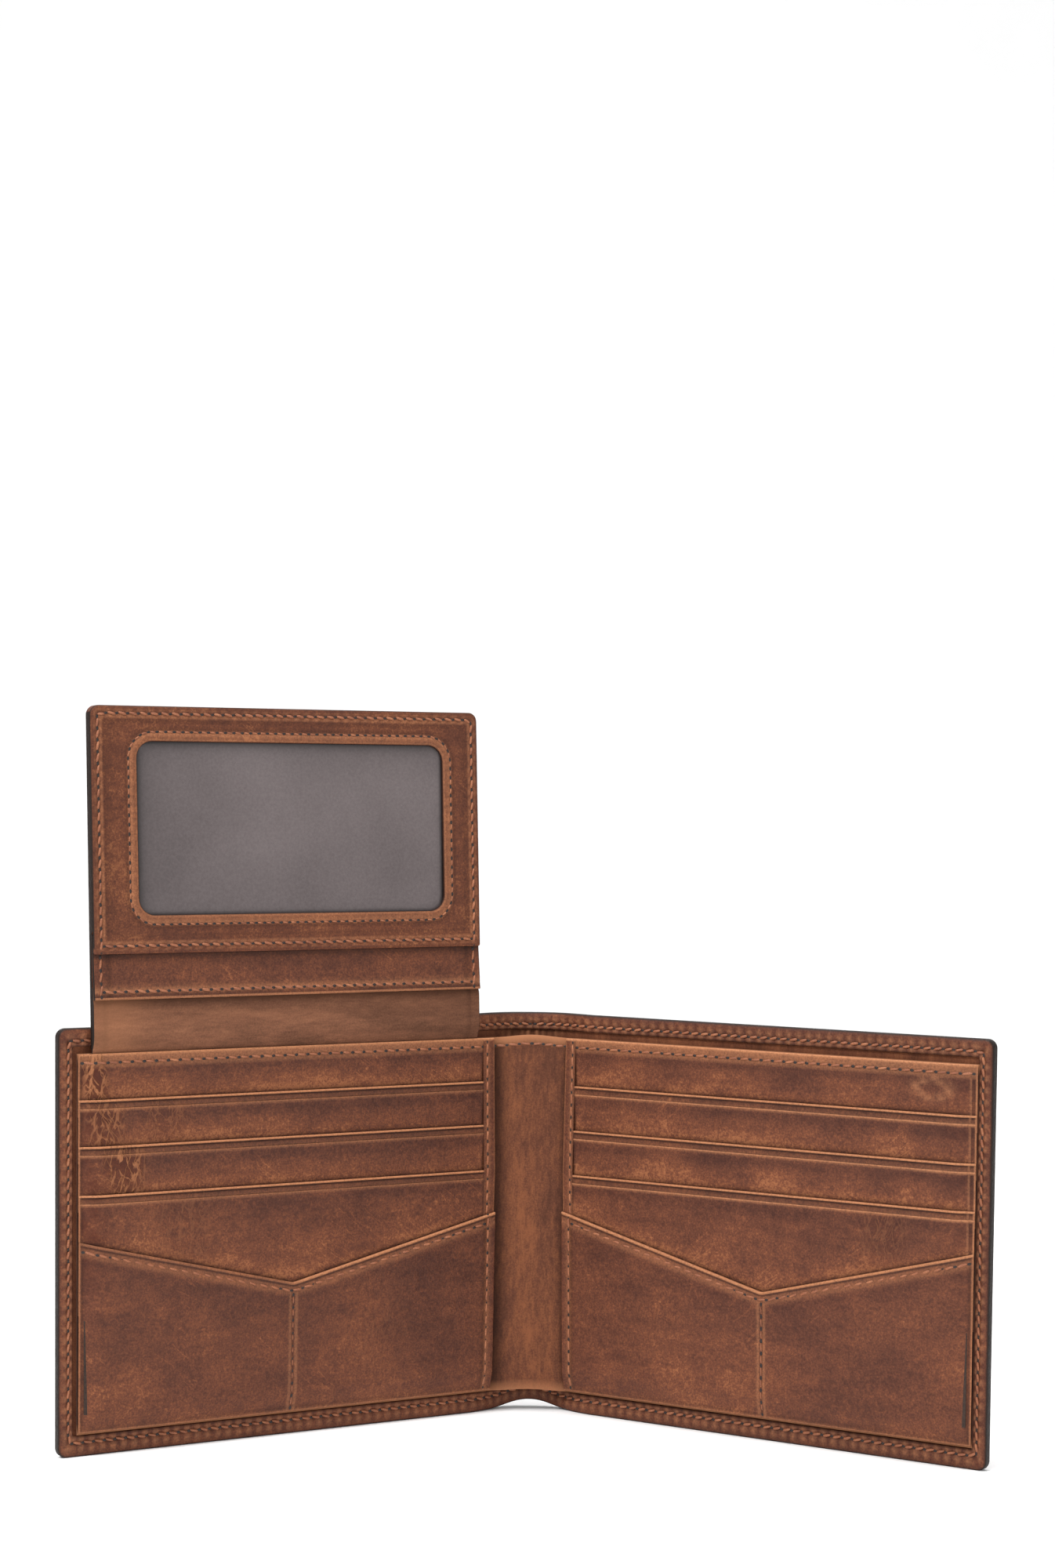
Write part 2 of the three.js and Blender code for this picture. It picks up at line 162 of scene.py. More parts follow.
def fade(distance, width):
    """1 up to a distance of 0, then falling off."""
    return np.exp(-np.maximum(distance, 0) / width)


def stack_place(side):
    """Half space for the card stacks, whose layers are pressed together along their sewn edges."""
    place = half_place(side)

    def pressed(u, t, z):
        by_side = 0.34 + 0.66 * smooth((STACK_OUTER - u) / 4.5)
        by_foot = 0.5 + 0.5 * smooth((z - STACK_FOOT) / 5.0)
        return place(u, DIVIDER_FRONT + (t - DIVIDER_FRONT) * np.minimum(by_side, by_foot), z)

    return pressed


def flap_place(u, t, h):
    """Flap space to the row frame."""
    lean_t = FLAP_AXIS_T + t * math.cos(FLAP_LEAN) - h * math.sin(FLAP_LEAN)
    lean_z = FLAP_AXIS_Z + h * math.cos(FLAP_LEAN) + t * math.sin(FLAP_LEAN)
    return half_place("left")(u, lean_t, lean_z)


class Track:
    """The plan of a sheet that runs from the middle of the spine out along one half.

    A place on it is given by its distance from the middle, its level in front of the sheet's middle
    surface, and its height."""

    def __init__(self, behind, half_level, leave, join):
        across = np.linspace(0, leave, 40)
        bow = np.stack([across, behind(across)], 1)
        start, end = bow[-1], self.on_half(join, half_level)
        out = bow[-1] - bow[-2]
        out /= np.linalg.norm(out)
        away = np.array([COS, -SIN])
        reach = np.linalg.norm(end - start)
        a = np.linspace(0, 1, 16)[1:, None]
        turn = (
            (2 * a**3 - 3 * a**2 + 1) * start
            + (a**3 - 2 * a**2 + a) * reach * out
            + (3 * a**2 - 2 * a**3) * end
            + (a**3 - a**2) * reach * away
        )
        far = self.on_half(join + np.linspace(1, 110, 30)[:, None], half_level)
        self.points = np.concatenate([bow, turn, far])
        steps = np.linalg.norm(np.diff(self.points, axis=0), axis=1)
        self.distance = np.concatenate([[0], np.cumsum(steps)])
        tangent = np.gradient(self.points, self.distance, axis=0)
        tangent[0] = [1, 0]
        self.tangent = tangent / np.linalg.norm(tangent, axis=1)[:, None]
        self.shift = self.distance[len(bow) + len(turn) - 1] - join

    @staticmethod
    def on_half(u, level):
        return np.concatenate(
            [np.atleast_1d(SPINE_X + u * COS - level * SIN), np.atleast_1d(-u * SIN - level * COS)], -1
        )

    def at(self, u):
        """Distance along the track of a place u outboard of the fold line."""
        return u + self.shift

    def across(self, s):
        """Distance in x from the middle of the spine."""
        return np.interp(s, self.distance, self.points[:, 0])

    def place(self, side):
        sign = -1 if side == "left" else 1

        def place(s, level, z):
            s, level, z = np.broadcast_arrays(s, level, z)
            x, y = (np.interp(s, self.distance, self.points[:, k]) for k in (0, 1))
            tx, ty = (np.interp(s, self.distance, self.tangent[:, k]) for k in (0, 1))
            return np.stack([sign * (x + level * ty), HINGE_Y + y - level * tx, z], -1) * MM

        return place


def bow_share(x, half):
    return 1 - np.clip(np.abs(x) / half, 0, 1) ** BOW_POWER


cover_track = Track(lambda x: -COVER_MIDDLE + SPINE_BOW * bow_share(x, SPINE_HALF), COVER_MIDDLE, 9.4, 5.0)
divider_track = Track(
    lambda x: -DIVIDER_FRONT / 2 + STRIP_BOW * bow_share(x, STRIP_HALF), DIVIDER_FRONT / 2, 7.6, 2.0
)


# ---------------------------------------------------------------- meshes

def lines(start, end, step, *marks):
    """Grid lines from start to end, with extra ones, in order."""
    count = max(int(round((end - start) / step)), 1)
    made = [np.linspace(start, end, count + 1), *[np.atleast_1d(m) for m in marks]]
    found = np.unique(np.round(np.concatenate(made), 4))
    found = found[(found >= start - 1e-4) & (found <= end + 1e-4)]
    keep = [found[0]]
    for value in found[1:]:
        if value - keep[-1] > 0.025:
            keep.append(value)
    keep[-1] = found[-1]
    return np.array(keep)


def from_edge(lo, hi, *distances):
    """Marks at the same distances in from both ends."""
    d = np.array(distances)
    return np.concatenate([lo + d, hi - d])


EDGE_MARKS = (0, 0.04, 0.11, 0.2, 0.31, 0.43, 0.55, 0.7)


def wave(a, b, seed, size, amount):
    """A gentle, repeatable unevenness over a surface."""
    rng = np.random.default_rng(seed)
    total = np.zeros(np.broadcast(a, b).shape)
    for _ in range(5):
        angle = rng.uniform(0, math.tau)
        pitch = size * rng.uniform(0.6, 1.6)
        phase = rng.uniform(0, math.tau)
        total = total + np.sin((a * math.cos(angle) + b * math.sin(angle)) * math.tau / pitch + phase)
    return total * amount / 5


def grid_quads(rows, cols, first=0):
    index = first + np.arange(rows * cols).reshape(rows, cols)
    return np.stack([index[:-1, :-1], index[:-1, 1:], index[1:, 1:], index[1:, :-1]], -1).reshape(-1, 4)


def border(rows, cols):
    index = np.arange(rows * cols).reshape(rows, cols)
    return np.concatenate([index[0, :-1], index[:-1, -1], index[-1, :0:-1], index[:0:-1, 0]])


def finish_mesh(name, points, faces, skin, burnish_light_shade_paint, material, sharp=40, tint=None):
    """Makes an object whose faces point out, with the attributes that its material reads."""
    if isinstance(faces, np.ndarray):
        a, b, c, d = (points[faces[:, k]] for k in range(4))
        volume = np.einsum("ij,ij->", a, np.cross(b, c)) + np.einsum("ij,ij->", a, np.cross(c, d))
        if volume < 0:
            faces = faces[:, ::-1]
        faces = faces.tolist()
    mesh = bpy.data.meshes.new(name)
    mesh.from_pydata(points.tolist(), [], faces)
    if tint is None:
        tint = np.zeros((len(points), 3))
    # The second attribute carries each point's rubbing plus painted highlight, its painted shade and its edge
    # paint.
    for label, values in (("skin", skin), ("burnish_light_shade_paint", burnish_light_shade_paint), ("tint", tint)):
        attribute = mesh.attributes.new(label, "FLOAT_VECTOR", "POINT")
        attribute.data.foreach_set("vector", np.ascontiguousarray(values, np.float32).ravel())
    mesh.polygons.foreach_set("use_smooth", np.ones(len(mesh.polygons), bool))
    mesh.set_sharp_from_angle(angle=math.radians(sharp))
    mesh.materials.append(material)
    piece = bpy.data.objects.new(name, mesh)
    bpy.context.scene.collection.objects.link(piece)
    return piece


# What a piece's seed moves its leather pattern by.
SKIN_OFFSET = np.array([17.3, 5.1, 31.7])


def stacked(*parts):
    return np.stack([np.broadcast_to(p, np.broadcast(*parts).shape) for p in parts], -1)


def shell(name, place, a, b, front, back, material, light=0, dark=0, paint=0, seed=0, tint=(0, 0, 0),
          mirror=1):
    """A closed sheet over the grid a, b, from level back to level front.

    light, dark and paint are how much rubbing and painted highlight, painted shade and edge paint its
    front has, and tint is how wrinkled, how red and how much paler it is."""
    rows, cols = a.shape
    points = np.concatenate([place(a, level, b).reshape(-1, 3) for level in (front, back)])
    rim = border(rows, cols)
    ahead = np.roll(rim, -1)
    count = rows * cols
    walls = np.stack([ahead, rim, rim + count, ahead + count], -1)
    faces = np.concatenate([grid_quads(rows, cols), grid_quads(rows, cols, count)[:, ::-1], walls])
    skin = np.concatenate([stacked(a, level, b).reshape(-1, 3) for level in (front, back)])
    skin = skin * [mirror, 1, 1] + SKIN_OFFSET * seed
    none = 0 * a
    colouring = stacked(*(part + none for part in tint)).reshape(-1, 3)
    front_light_shade_paint = stacked(light + none, dark + none, paint + none).reshape(-1, 3)
    back_edge_paint = stacked(none, none, paint + none).reshape(-1, 3)
    burnish_light_shade_paint = np.concatenate([front_light_shade_paint, back_edge_paint])
    return finish_mesh(name, points, faces, skin, burnish_light_shade_paint, material, tint=np.concatenate([colouring, colouring]))


def settle(piece, slot, body=None, replaces=(), bends=None):
    """Parents a piece to the body it rides on, bakes the transform of a piece that lies across a fold, and
    hides the nodes it stands for. Its slot argument is not used.
    """
    if bends is not None:
        bend(piece, bends)
    if body is not None:
        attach(piece, body)
    if replaces:
        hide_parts(*replaces)


def bend(piece, side):
    """Bakes the piece's transform into its mesh; the ends of the fold line are worked out but not used."""
    place = half_place(side)
    start, end = Vector(place(-4.0, 0.0, 0.0)), Vector(place(4.0, 0.0, 0.0))
    start.z = end.z = 0
    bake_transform(piece)


def weld(piece, distance=2e-6):
    """Joins points that lie on each other and turns the faces outwards."""
    made = bmesh.new()
    made.from_mesh(piece.data)
    bmesh.ops.remove_doubles(made, verts=made.verts, dist=distance)
    bmesh.ops.recalc_face_normals(made, faces=made.faces)
    made.to_mesh(piece.data)
    made.free()


# ---------------------------------------------------------------- materials

# How bright a material's own red, green and blue are, against what they show in the studio's light.
BRIGHTNESS = (0.6, 0.54, 0.47)


def lin(r, g, b, brightness=BRIGHTNESS):
    """An 8-bit sRGB colour, as it shows, as a linear one for a material."""
    shown = np.array((r, g, b)) / 255
    linear = np.where(shown <= 0.04045, shown / 12.92, ((shown + 0.055) / 1.055) ** 2.4)
    return (*(linear * brightness).tolist(), 1)


class Graph:
    """Short calls for building one material's nodes."""

    def __init__(self, name):
        self.material = bpy.data.materials.new(name)
        self.material.use_nodes = True
        self.tree = self.material.node_tree
        self.tree.nodes.clear()
        self.shader = self.node("ShaderNodeBsdfPrincipled")
        output = self.node("ShaderNodeOutputMaterial")
        self.tree.links.new(self.shader.outputs[0], output.inputs["Surface"])

    def node(self, kind, inputs=(), **settings):
        """A node with its settings, and with values or links put into its inputs."""
        made = self.tree.nodes.new(kind)
        for key, value in settings.items():
            setattr(made, key, value)
        for key, value in dict(inputs).items():
            self.put(made.inputs[key], value)
        return made

    def put(self, socket, value):
        if isinstance(value, bpy.types.NodeSocket):
            self.tree.links.new(value, socket)
        else:
            socket.default_value = value

    def shade(self, **values):
        """Sets the shader's own inputs, whose names have _ for a space."""
        for key, value in values.items():
            self.put(self.shader.inputs[key.replace("_", " ")], value)

    def attribute(self, name):
        made = self.node("ShaderNodeAttribute", attribute_name=name, attribute_type="GEOMETRY")
        return made.outputs["Vector"]

    def marks(self, name):
        """The three numbers that an attribute carries."""
        return self.node("ShaderNodeSeparateXYZ", {0: self.attribute(name)}).outputs

    def math(self, operation, *values):
        return self.node("ShaderNodeMath", enumerate(values), operation=operation).outputs[0]

    def scaled(self, vector, scale):
        return self.node("ShaderNodeVectorMath", {0: vector, 1: scale}, operation="MULTIPLY").outputs[0]

    def turned(self, vector, angle, scale):
        """The vector turned in the plane of the sheet, then scaled."""
        inputs = {"Vector": vector, "Rotation": (0, math.radians(angle), 0)}
        return self.scaled(self.node("ShaderNodeMapping", inputs, vector_type="POINT").outputs[0], scale)

    def near(self, value, middle, width):
        """1 where the value is at the middle, down to 0 at the width from it."""
        away = self.math("ABSOLUTE", self.math("SUBTRACT", value, middle))
        return self.span(away, 0, width, 1, 0)

    def noise(self, vector, size, detail=3, roughness=0.5, distortion=0.0):
        """Noise with features of about the given size, in millimetres."""
        inputs = {
            "Vector": vector, "Scale": 1 / size, "Detail": detail, "Roughness": roughness,
            "Distortion": distortion,
        }
        return self.node("ShaderNodeTexNoise", inputs).outputs["Fac"]

    def cracks(self, vector, size):
        """Distance to the nearest line of an irregular net."""
        inputs = {"Vector": vector, "Scale": 1 / size}
        return self.node("ShaderNodeTexVoronoi", inputs, feature="DISTANCE_TO_EDGE").outputs["Distance"]

    def warped(self, vector, size, amount):
        """The vector pushed about by noise."""
        push = self.node("ShaderNodeTexNoise", {"Vector": vector, "Scale": 1 / size}).outputs["Color"]
        inputs = {0: push, 1: (amount, amount, amount), 2: vector}
        return self.node("ShaderNodeVectorMath", inputs, operation="MULTIPLY_ADD").outputs[0]

    def span(self, value, lo, hi, to_lo=0.0, to_hi=1.0, kind="SMOOTHSTEP"):
        """The value's range from lo to hi, mapped to another range."""
        inputs = {"Value": value, "From Min": lo, "From Max": hi, "To Min": to_lo, "To Max": to_hi}
        return self.node("ShaderNodeMapRange", inputs, interpolation_type=kind).outputs["Result"]

    def layered(self, tone, *layers):
        """A tone with noises added to it: each one's values, its lowest, its highest and its weight."""
        for value, lo, hi, weight in layers:
            tone = self.math("MULTIPLY_ADD", self.span(value, lo, hi, kind="LINEAR"), weight, tone)
        return tone

    def ramp(self, value, stops):
        made = self.node("ShaderNodeValToRGB", {"Fac": value})
        elements = made.color_ramp.elements
        while len(elements) < len(stops):
            elements.new(0.5)
        for element, (position, colour) in zip(elements, stops):
            element.position = position
            element.color = colour
        return made.outputs["Color"]

    def mix(self, share, a, b):
        return self.node("ShaderNodeMix", {"Factor": share, 6: a, 7: b}, data_type="RGBA").outputs[2]

    def bump(self, height, strength, distance):
        """A bump whose height of 1 stands distance millimetres high."""
        inputs = {"Strength": strength, "Distance": distance * MM, "Height": height}
        return self.node("ShaderNodeBump", inputs).outputs["Normal"]


PLUM = lin(80, 48, 42)
PLUM_BROWN = lin(100, 62, 51)
MID_BROWN = lin(120, 75, 59)
WARM_BROWN = lin(144, 90, 67)
TAN = lin(180, 120, 86)
RED_DARK = lin(92, 45, 31)
RIDGE_TAN = lin(190, 130, 94)
DEEP_SHADE = lin(46, 25, 18)
# Colour for burnished edges and for painted highlights on edges, beads and ripples.
BURNISH_AND_HIGHLIGHT = lin(222, 158, 118)
EDGE_BLACK = lin(44, 34, 31)


def leather(name, lift=0.0):
    """Waxy pull-up leather: mottled, scratched and reddish where wrinkled, light where it is rubbed or given
    a painted highlight, and darkened with painted shade in its grooves and creases.
    """
    g = Graph(name)
    skin = g.attribute("skin")
    light, dark, paint = g.marks("burnish_light_shade_paint")
    wrinkled, red, paler = g.marks("tint")
    clouds = g.noise(g.scaled(skin, (0.7, 1, 1)), 11, 1, 0.5, 0.2)
    smears = g.noise(g.scaled(skin, (0.2, 1, 1)), 2.4, 3, 0.6)
    patches = g.noise(skin, 3.2, 3, 0.65)
    pebbles = g.noise(skin, 1.0, 2, 0.6)
    grain = g.noise(skin, 0.42, 2, 0.7)
    tone = g.layered(
        lift - 0.1, (clouds, 0.25, 0.75, 0.24), (smears, 0.3, 0.7, 0.17), (patches, 0.25, 0.75, 0.2),
        (pebbles, 0.3, 0.7, 0.22), (grain, 0.3, 0.7, 0.44),
    )
    tone = g.math("ADD", tone, paler)
    strokes = g.near(g.noise(g.turned(skin, 38, (0.12, 1, 1)), 1.7, 1), 0.5, 0.03)
    strokes = g.math("MULTIPLY", strokes, g.span(g.noise(skin, 12, 2), 0.56, 0.66))
    net = g.cracks(g.warped(g.scaled(skin, (1, 1, 0.6)), 1.6, 1.0), 1.5)
    fine = g.math("MULTIPLY", g.span(net, 0.0, 0.08, 1, 0), g.span(g.noise(skin, 7, 2), 0.46, 0.66))
    tone = g.math("MULTIPLY_ADD", strokes, 0.22, tone)
    tone = g.math("MULTIPLY_ADD", fine, 0.07, tone)
    colour = g.ramp(
        tone, [(0.06, PLUM), (0.34, PLUM_BROWN), (0.56, MID_BROWN), (0.8, WARM_BROWN), (1.0, TAN)]
    )
    colour = g.mix(g.math("MULTIPLY", red, g.span(patches, 0.35, 0.6, 0.8, 0.35)), colour, RED_DARK)
    loose = g.warped(skin, 2.5, 1.2)
    upright = g.near(g.noise(g.turned(loose, 14, (1, 1, 0.22)), 1.7, 2), 0.5, 0.055)
    leaning = g.near(g.noise(g.turned(loose, -30, (1, 1, 0.22)), 2.1, 2), 0.5, 0.035)
    torn = g.math("MULTIPLY", wrinkled, g.span(patches, 0.3, 0.55, 0.55, 1))
    ridges = g.math("MULTIPLY", torn, g.math("MAXIMUM", upright, leaning))
    rubbed_and_lit = g.math("MULTIPLY", light, g.span(grain, 0.25, 0.65, 0.55, 1))
    # The first mark is rubbing plus painted highlight, the second painted shade, the third edge paint.
    coats = (
        (g.math("MULTIPLY", torn, 0.65), RED_DARK), (ridges, RIDGE_TAN), (dark, DEEP_SHADE),
        (rubbed_and_lit, BURNISH_AND_HIGHLIGHT), (paint, EDGE_BLACK),
    )
    for share, coat in coats:
        colour = g.mix(share, colour, coat)
    height = g.math("MULTIPLY_ADD", pebbles, 1.2, g.math("MULTIPLY", grain, 0.8))
    height = g.math("MULTIPLY_ADD", fine, -0.35, height)
    height = g.math("MULTIPLY_ADD", ridges, 2.0, height)
    g.shade(
        Base_Color=colour, Roughness=g.span(tone, 0.1, 1.0, 0.42, 0.66, "LINEAR"),
        Specular_IOR_Level=0.16, Normal=g.bump(height, 0.8, 0.12),
    )
    return g.material


def nap(name, stops, streak=(1, 1, 0.3)):
    """Velvety lining leather, brushed along one way."""
    g = Graph(name)
    skin = g.attribute("skin")
    light, dark, paint = g.marks("burnish_light_shade_paint")
    clouds = g.noise(g.scaled(skin, streak), 9, 4, 0.6, 0.4)
    fibres = g.noise(g.scaled(skin, streak), 0.8, 4, 0.7)
    specks = g.noise(skin, 0.35, 2, 0.6)
    tone = g.math("MULTIPLY", g.span(clouds, 0.3, 0.7, kind="LINEAR"), 0.5)
    tone = g.layered(tone, (fibres, 0.3, 0.7, 0.28), (specks, 0.3, 0.7, 0.22))
    colour = g.ramp(tone, stops)
    # Painted shade from the second mark, rubbing plus painted highlight from the first, edge paint from the
    # third.
    for share, coat in ((dark, DEEP_SHADE), (g.math("MULTIPLY", light, 0.8), BURNISH_AND_HIGHLIGHT), (paint, EDGE_BLACK)):
        colour = g.mix(share, colour, coat)
    height = g.math("MULTIPLY_ADD", fibres, 0.6, g.math("MULTIPLY", specks, 0.6))
    g.shade(
        Base_Color=colour, Roughness=0.85, Specular_IOR_Level=0.2, Sheen_Weight=0.06, Sheen_Roughness=0.4,
        Normal=g.bump(height, 0.7, 0.12),
    )
    return g.material


def film_material():
    """Matt grey window film with a faint woven grain."""
    g = Graph("window_film")
    skin = g.attribute("skin")
    clouds = g.noise(skin, 22, 3, 0.5)
    specks = g.noise(skin, 0.5, 3, 0.6)
    tone = g.math("MULTIPLY_ADD", specks, 0.45, g.math("MULTIPLY", clouds, 0.55))
    colour = g.ramp(tone, [(0.3, lin(96, 86, 86, 0.7)), (0.7, lin(124, 113, 113, 0.7))])
    # Painted shadow along the film's edges, where the frame shades it.
    colour = g.mix(g.marks("burnish_light_shade_paint")[1], colour, lin(26, 20, 20))
    g.shade(Base_Color=colour, Roughness=0.5, Specular_IOR_Level=0.35, Normal=g.bump(specks, 0.3, 0.05))
    return g.material


def cloth_material():
    """Thin plain-woven lining cloth."""
    g = Graph("slot_cloth")
    place = g.node("ShaderNodeTexCoord").outputs["Object"]
    threads = g.node("ShaderNodeTexWave", {"Vector": place, "Scale": 900}, bands_direction="Z")
    specks = g.noise(g.scaled(place, (1000, 1000, 1000)), 0.6)
    colour = g.ramp(specks, [(0.3, lin(52, 40, 35)), (0.7, lin(78, 60, 52))])
    g.shade(Base_Color=colour, Roughness=0.9, Normal=g.bump(threads.outputs["Fac"], 0.4, 0.05))
    return g.material


def thread_material():
    """Waxed tan thread: each stitch is twisted and slightly different."""
    g = Graph("thread")
    skin = g.attribute("skin")
    twist = g.noise(skin, 0.22, 2, 0.6)
    each = g.noise(skin, 3.5, 2)
    tone = g.math("MULTIPLY_ADD", twist, 0.5, g.math("MULTIPLY", each, 0.5))
    colour = g.ramp(tone, [(0.3, lin(134, 78, 54)), (0.5, lin(178, 112, 78)), (0.72, lin(218, 152, 110))])
    # Near-black painted shade in the needle holes.
    colour = g.mix(g.marks("burnish_light_shade_paint")[1], colour, lin(38, 21, 16))
    g.shade(Base_Color=colour, Roughness=0.6, Normal=g.bump(twist, 0.5, 0.08))
    return g.material


LEATHER_LOOK = leather("leather")
HEM_LOOK = leather("leather_hem", lift=0.06)
SUEDE_LOOK = nap(
    "divider_leather",
    [(0.2, lin(80, 50, 40)), (0.5, lin(117, 74, 57)), (0.82, lin(158, 101, 71))],
)
LINING_LOOK = nap(
    "note_lining",
    [(0.15, lin(98, 60, 45)), (0.5, lin(136, 85, 62)), (0.85, lin(172, 112, 80))],
)
BASE_LOOK = nap(
    "flap_base_leather",
    [(0.2, lin(96, 66, 54)), (0.5, lin(136, 94, 76)), (0.82, lin(174, 124, 98))],
    streak=(0.22, 1, 1),
)
FILM_LOOK = film_material()
CLOTH_LOOK = cloth_material()
THREAD_LOOK = thread_material()


# ---------------------------------------------------------------- profiles across a sheet's edges

# A slot's top edge: burnished bead, groove under it, and a creased line further down.
# Its light is burnish plus painted highlight on the bead and on the crease's lower lip, its dark is
# painted shade in the groove and the crease; the side profile is lit and shaded the same way.
CREASE = 1.75
EDGE_D = (0, 0.05, 0.13, 0.26, 0.4, 0.52, 0.68, 1.0, CREASE - 0.14, CREASE, CREASE + 0.12, CREASE + 0.3, 2.6)
EDGE_H = (-0.28, -0.12, 0.0, 0.08, 0.04, -0.1, -0.04, 0.0, 0.03, -0.07, 0.03, 0.04, 0)
EDGE_LIGHT = (0.7, 1.0, 1.0, 0.95, 0.5, 0, 0, 0.05, 0.1, 0.1, 0.5, 0.28, 0)
EDGE_DARK = (0, 0, 0, 0, 0.3, 0.95, 0.72, 0.24, 0.16, 0.55, 0.05, 0, 0)
SIDE_D = (0, 0.05, 0.13, 0.26, 0.4, 0.6, 0.9, 1.3)
SIDE_H = (-0.28, -0.13, -0.03, 0.03, 0.0, -0.05, -0.01, 0)
SIDE_LIGHT = (0.5, 0.75, 0.7, 0.4, 0.1, 0, 0, 0)
SIDE_DARK = (0, 0, 0, 0, 0.3, 0.5, 0.15, 0)
RIM_D = (0, 0.05, 0.13, 0.26)
RIM_H = (-0.25, -0.1, -0.02, 0)


def pinch(distance, along, pitch, depth=0.1, width=0.55):
    """How far a seam pulls the leather down at a distance across it and a place along it."""
    return -depth * peak(distance, width) * (0.65 + 0.35 * np.cos(math.tau * along / pitch))


# ---------------------------------------------------------------- sewing

def run_length(points):
    steps = np.linalg.norm(np.diff(points, axis=0), axis=1)
    return np.concatenate([[0], np.cumsum(steps)])


def tube_faces(rows, cols, first):
    """The faces of a closed tube of rows rings with cols points each."""
    index = first + np.arange(rows * cols).reshape(rows, cols)
    around = np.roll(index, -1, axis=1)
    quads = np.stack([index[:-1], around[:-1], around[1:], index[1:]], -1).reshape(-1, 4).tolist()
    return [*quads, index[0, ::-1].tolist(), index[-1].tolist()]


STITCH_SIDES = 7
STITCH_RINGS = 7
HOLE_SIDES = 8
HOLE_SIZE = (0.5, 0.36)  # half its length along the seam, and half its width
HOLE_RINGS = np.array([1.0, 0.75, 0.35])
HOLE_HEIGHTS = np.array([-0.1, 0.05, 0.07])


def circle(count):
    angles = np.arange(count) * math.tau / count
    return np.cos(angles), np.sin(angles)


def seam(name, place, level, route, pitch, slant=0.14, radius=0.25, fill=0.78, lift=0.07, seed=0,
         closed=False, outside=False, **settling):
    """A row of stitches along a route: slanted thread bits, and at each end of each one a hole, a small disc
    painted near-black for the shade in it.
    """
    route = np.array(route, float)
    if closed:
        route = np.concatenate([route, route[:1]])
    run = run_length(route)
    count = max(int(round(run[-1] / pitch)), 1)
    step = run[-1] / count
    rng = np.random.default_rng(seed + 100)
    points, faces, skin, burnish_light_shade_paint = [], [], [], []

    def on_route(s):
        return np.stack([np.interp(s, run, route[:, k]) for k in (0, 1)], -1)

    def add(centre, across, along, side, forward, heights, dark, first_skin=0):
        """One tube: rings about a centre, with their spread along and across the seam."""
        grid = np.empty((*across.shape, 3))
        for axis, k in ((0, 0), (2, 1)):
            grid[..., axis] = centre[..., k, None] + forward * along[k] + across * side[k]
        grid[..., 1] = heights
        faces.extend(tube_faces(*across.shape, sum(len(p) for p in points)))
        points.append(place(grid[..., 0], grid[..., 1], grid[..., 2]).reshape(-1, 3))
        skin.append(grid.reshape(-1, 3) + first_skin)
        burnish_light_shade_paint.append(np.tile([0.0, dark, 0.0], (across.size, 1)))

    turn_across, turn_up = circle(STITCH_SIDES)
    a = np.linspace(-1, 1, STITCH_RINGS)
    for i in range(count):
        middle = (i + 0.5) * step
        reach = step * fill / 2 * rng.uniform(0.92, 1.06)
        here, ahead = on_route(middle - reach), on_route(middle + reach)
        length = np.linalg.norm(ahead - here)
        along = (ahead - here) / length
        side = np.array([-along[1], along[0]])
        tilt = slant * rng.uniform(0.7, 1.3)
        girth = radius * np.sqrt(np.clip(1 - np.abs(a) ** 3.2, 0.06, 1)) * rng.uniform(0.93, 1.07)
        centre = (here + ahead) / 2 + np.outer(a * length / 2, along) + np.outer(a * tilt, side)
        height = level(centre[:, 0], centre[:, 1]) + lift - 0.16 * np.abs(a) ** 2.5
        up = turn_up[None, :] * girth[:, None] * 0.85
        across = turn_across[None, :] * girth[:, None]
        add(centre, across, along, side, 0, height[:, None] + up, 0.0, rng.uniform(0, 40, 3))
    turn_along, turn_across = circle(HOLE_SIDES)
    for i in range(count if closed else count + 1):
        point = on_route(i * step)
        ahead = on_route(min(i * step + 0.1, run[-1])) - on_route(max(i * step - 0.1, 0))
        along = ahead / np.linalg.norm(ahead)
        side = np.array([-along[1], along[0]])
        forward = turn_along[None] * HOLE_SIZE[0] * HOLE_RINGS[:, None]
        across = turn_across[None] * HOLE_SIZE[1] * HOLE_RINGS[:, None]
        heights = level(point[:1], point[1:])[0] + HOLE_HEIGHTS[:, None]
        add(point, across, along, side, forward, heights, 1.0)
    piece = finish_mesh(
        name, np.concatenate(points), faces, np.concatenate(skin), np.concatenate(burnish_light_shade_paint), THREAD_LOOK, 60
    )
    if outside:
        weld(piece)
    settle(piece, "thread", **settling)


def flat(level):
    """A seam's level where it is the same all along it."""
    return lambda u, z: np.full(len(u), level)


# ---------------------------------------------------------------- cover and lining

def notch(x):
    """How far the spine's foot is arched up at a distance from its middle."""
    return SPINE_NOTCH * np.cos(math.pi / 2 * np.clip(np.abs(x) / SPINE_HALF, 0, 1)) ** 2


def raised(s, z):
    """Height of a place on the cover, above the arch in the spine's foot."""
    return z + notch(cover_track.across(s)) * np.clip(1 - z / 60, 0, 1)


def hem_insets(inset):
    """A place in the hem, measured from the foot and from the top, where the hem is wider."""
    share = float(np.clip((inset - 0.4) / 2.7, 0, 1))
    return inset + FOOT_HEM * share, HEIGHT - inset - TOP_HEM * share


def hem_path(end, inset, radius, along, upright, turns):
    """A line along the hem: along the foot, round the corner, up the side, and back along the top."""
    foot, top = hem_insets(inset)
    angles = np.linspace(0, math.pi / 2, turns)
    across = end - inset - radius + radius * np.sin(angles)
    rise = radius - radius * np.cos(angles)
    return np.concatenate([
        np.stack([along, raised(along, foot)], 1),
        np.stack([across, foot + rise], 1),
        stacked(end - inset, upright),
        np.stack([across, top - rise], 1)[::-1],
        stacked(along[::-1], top),
    ])


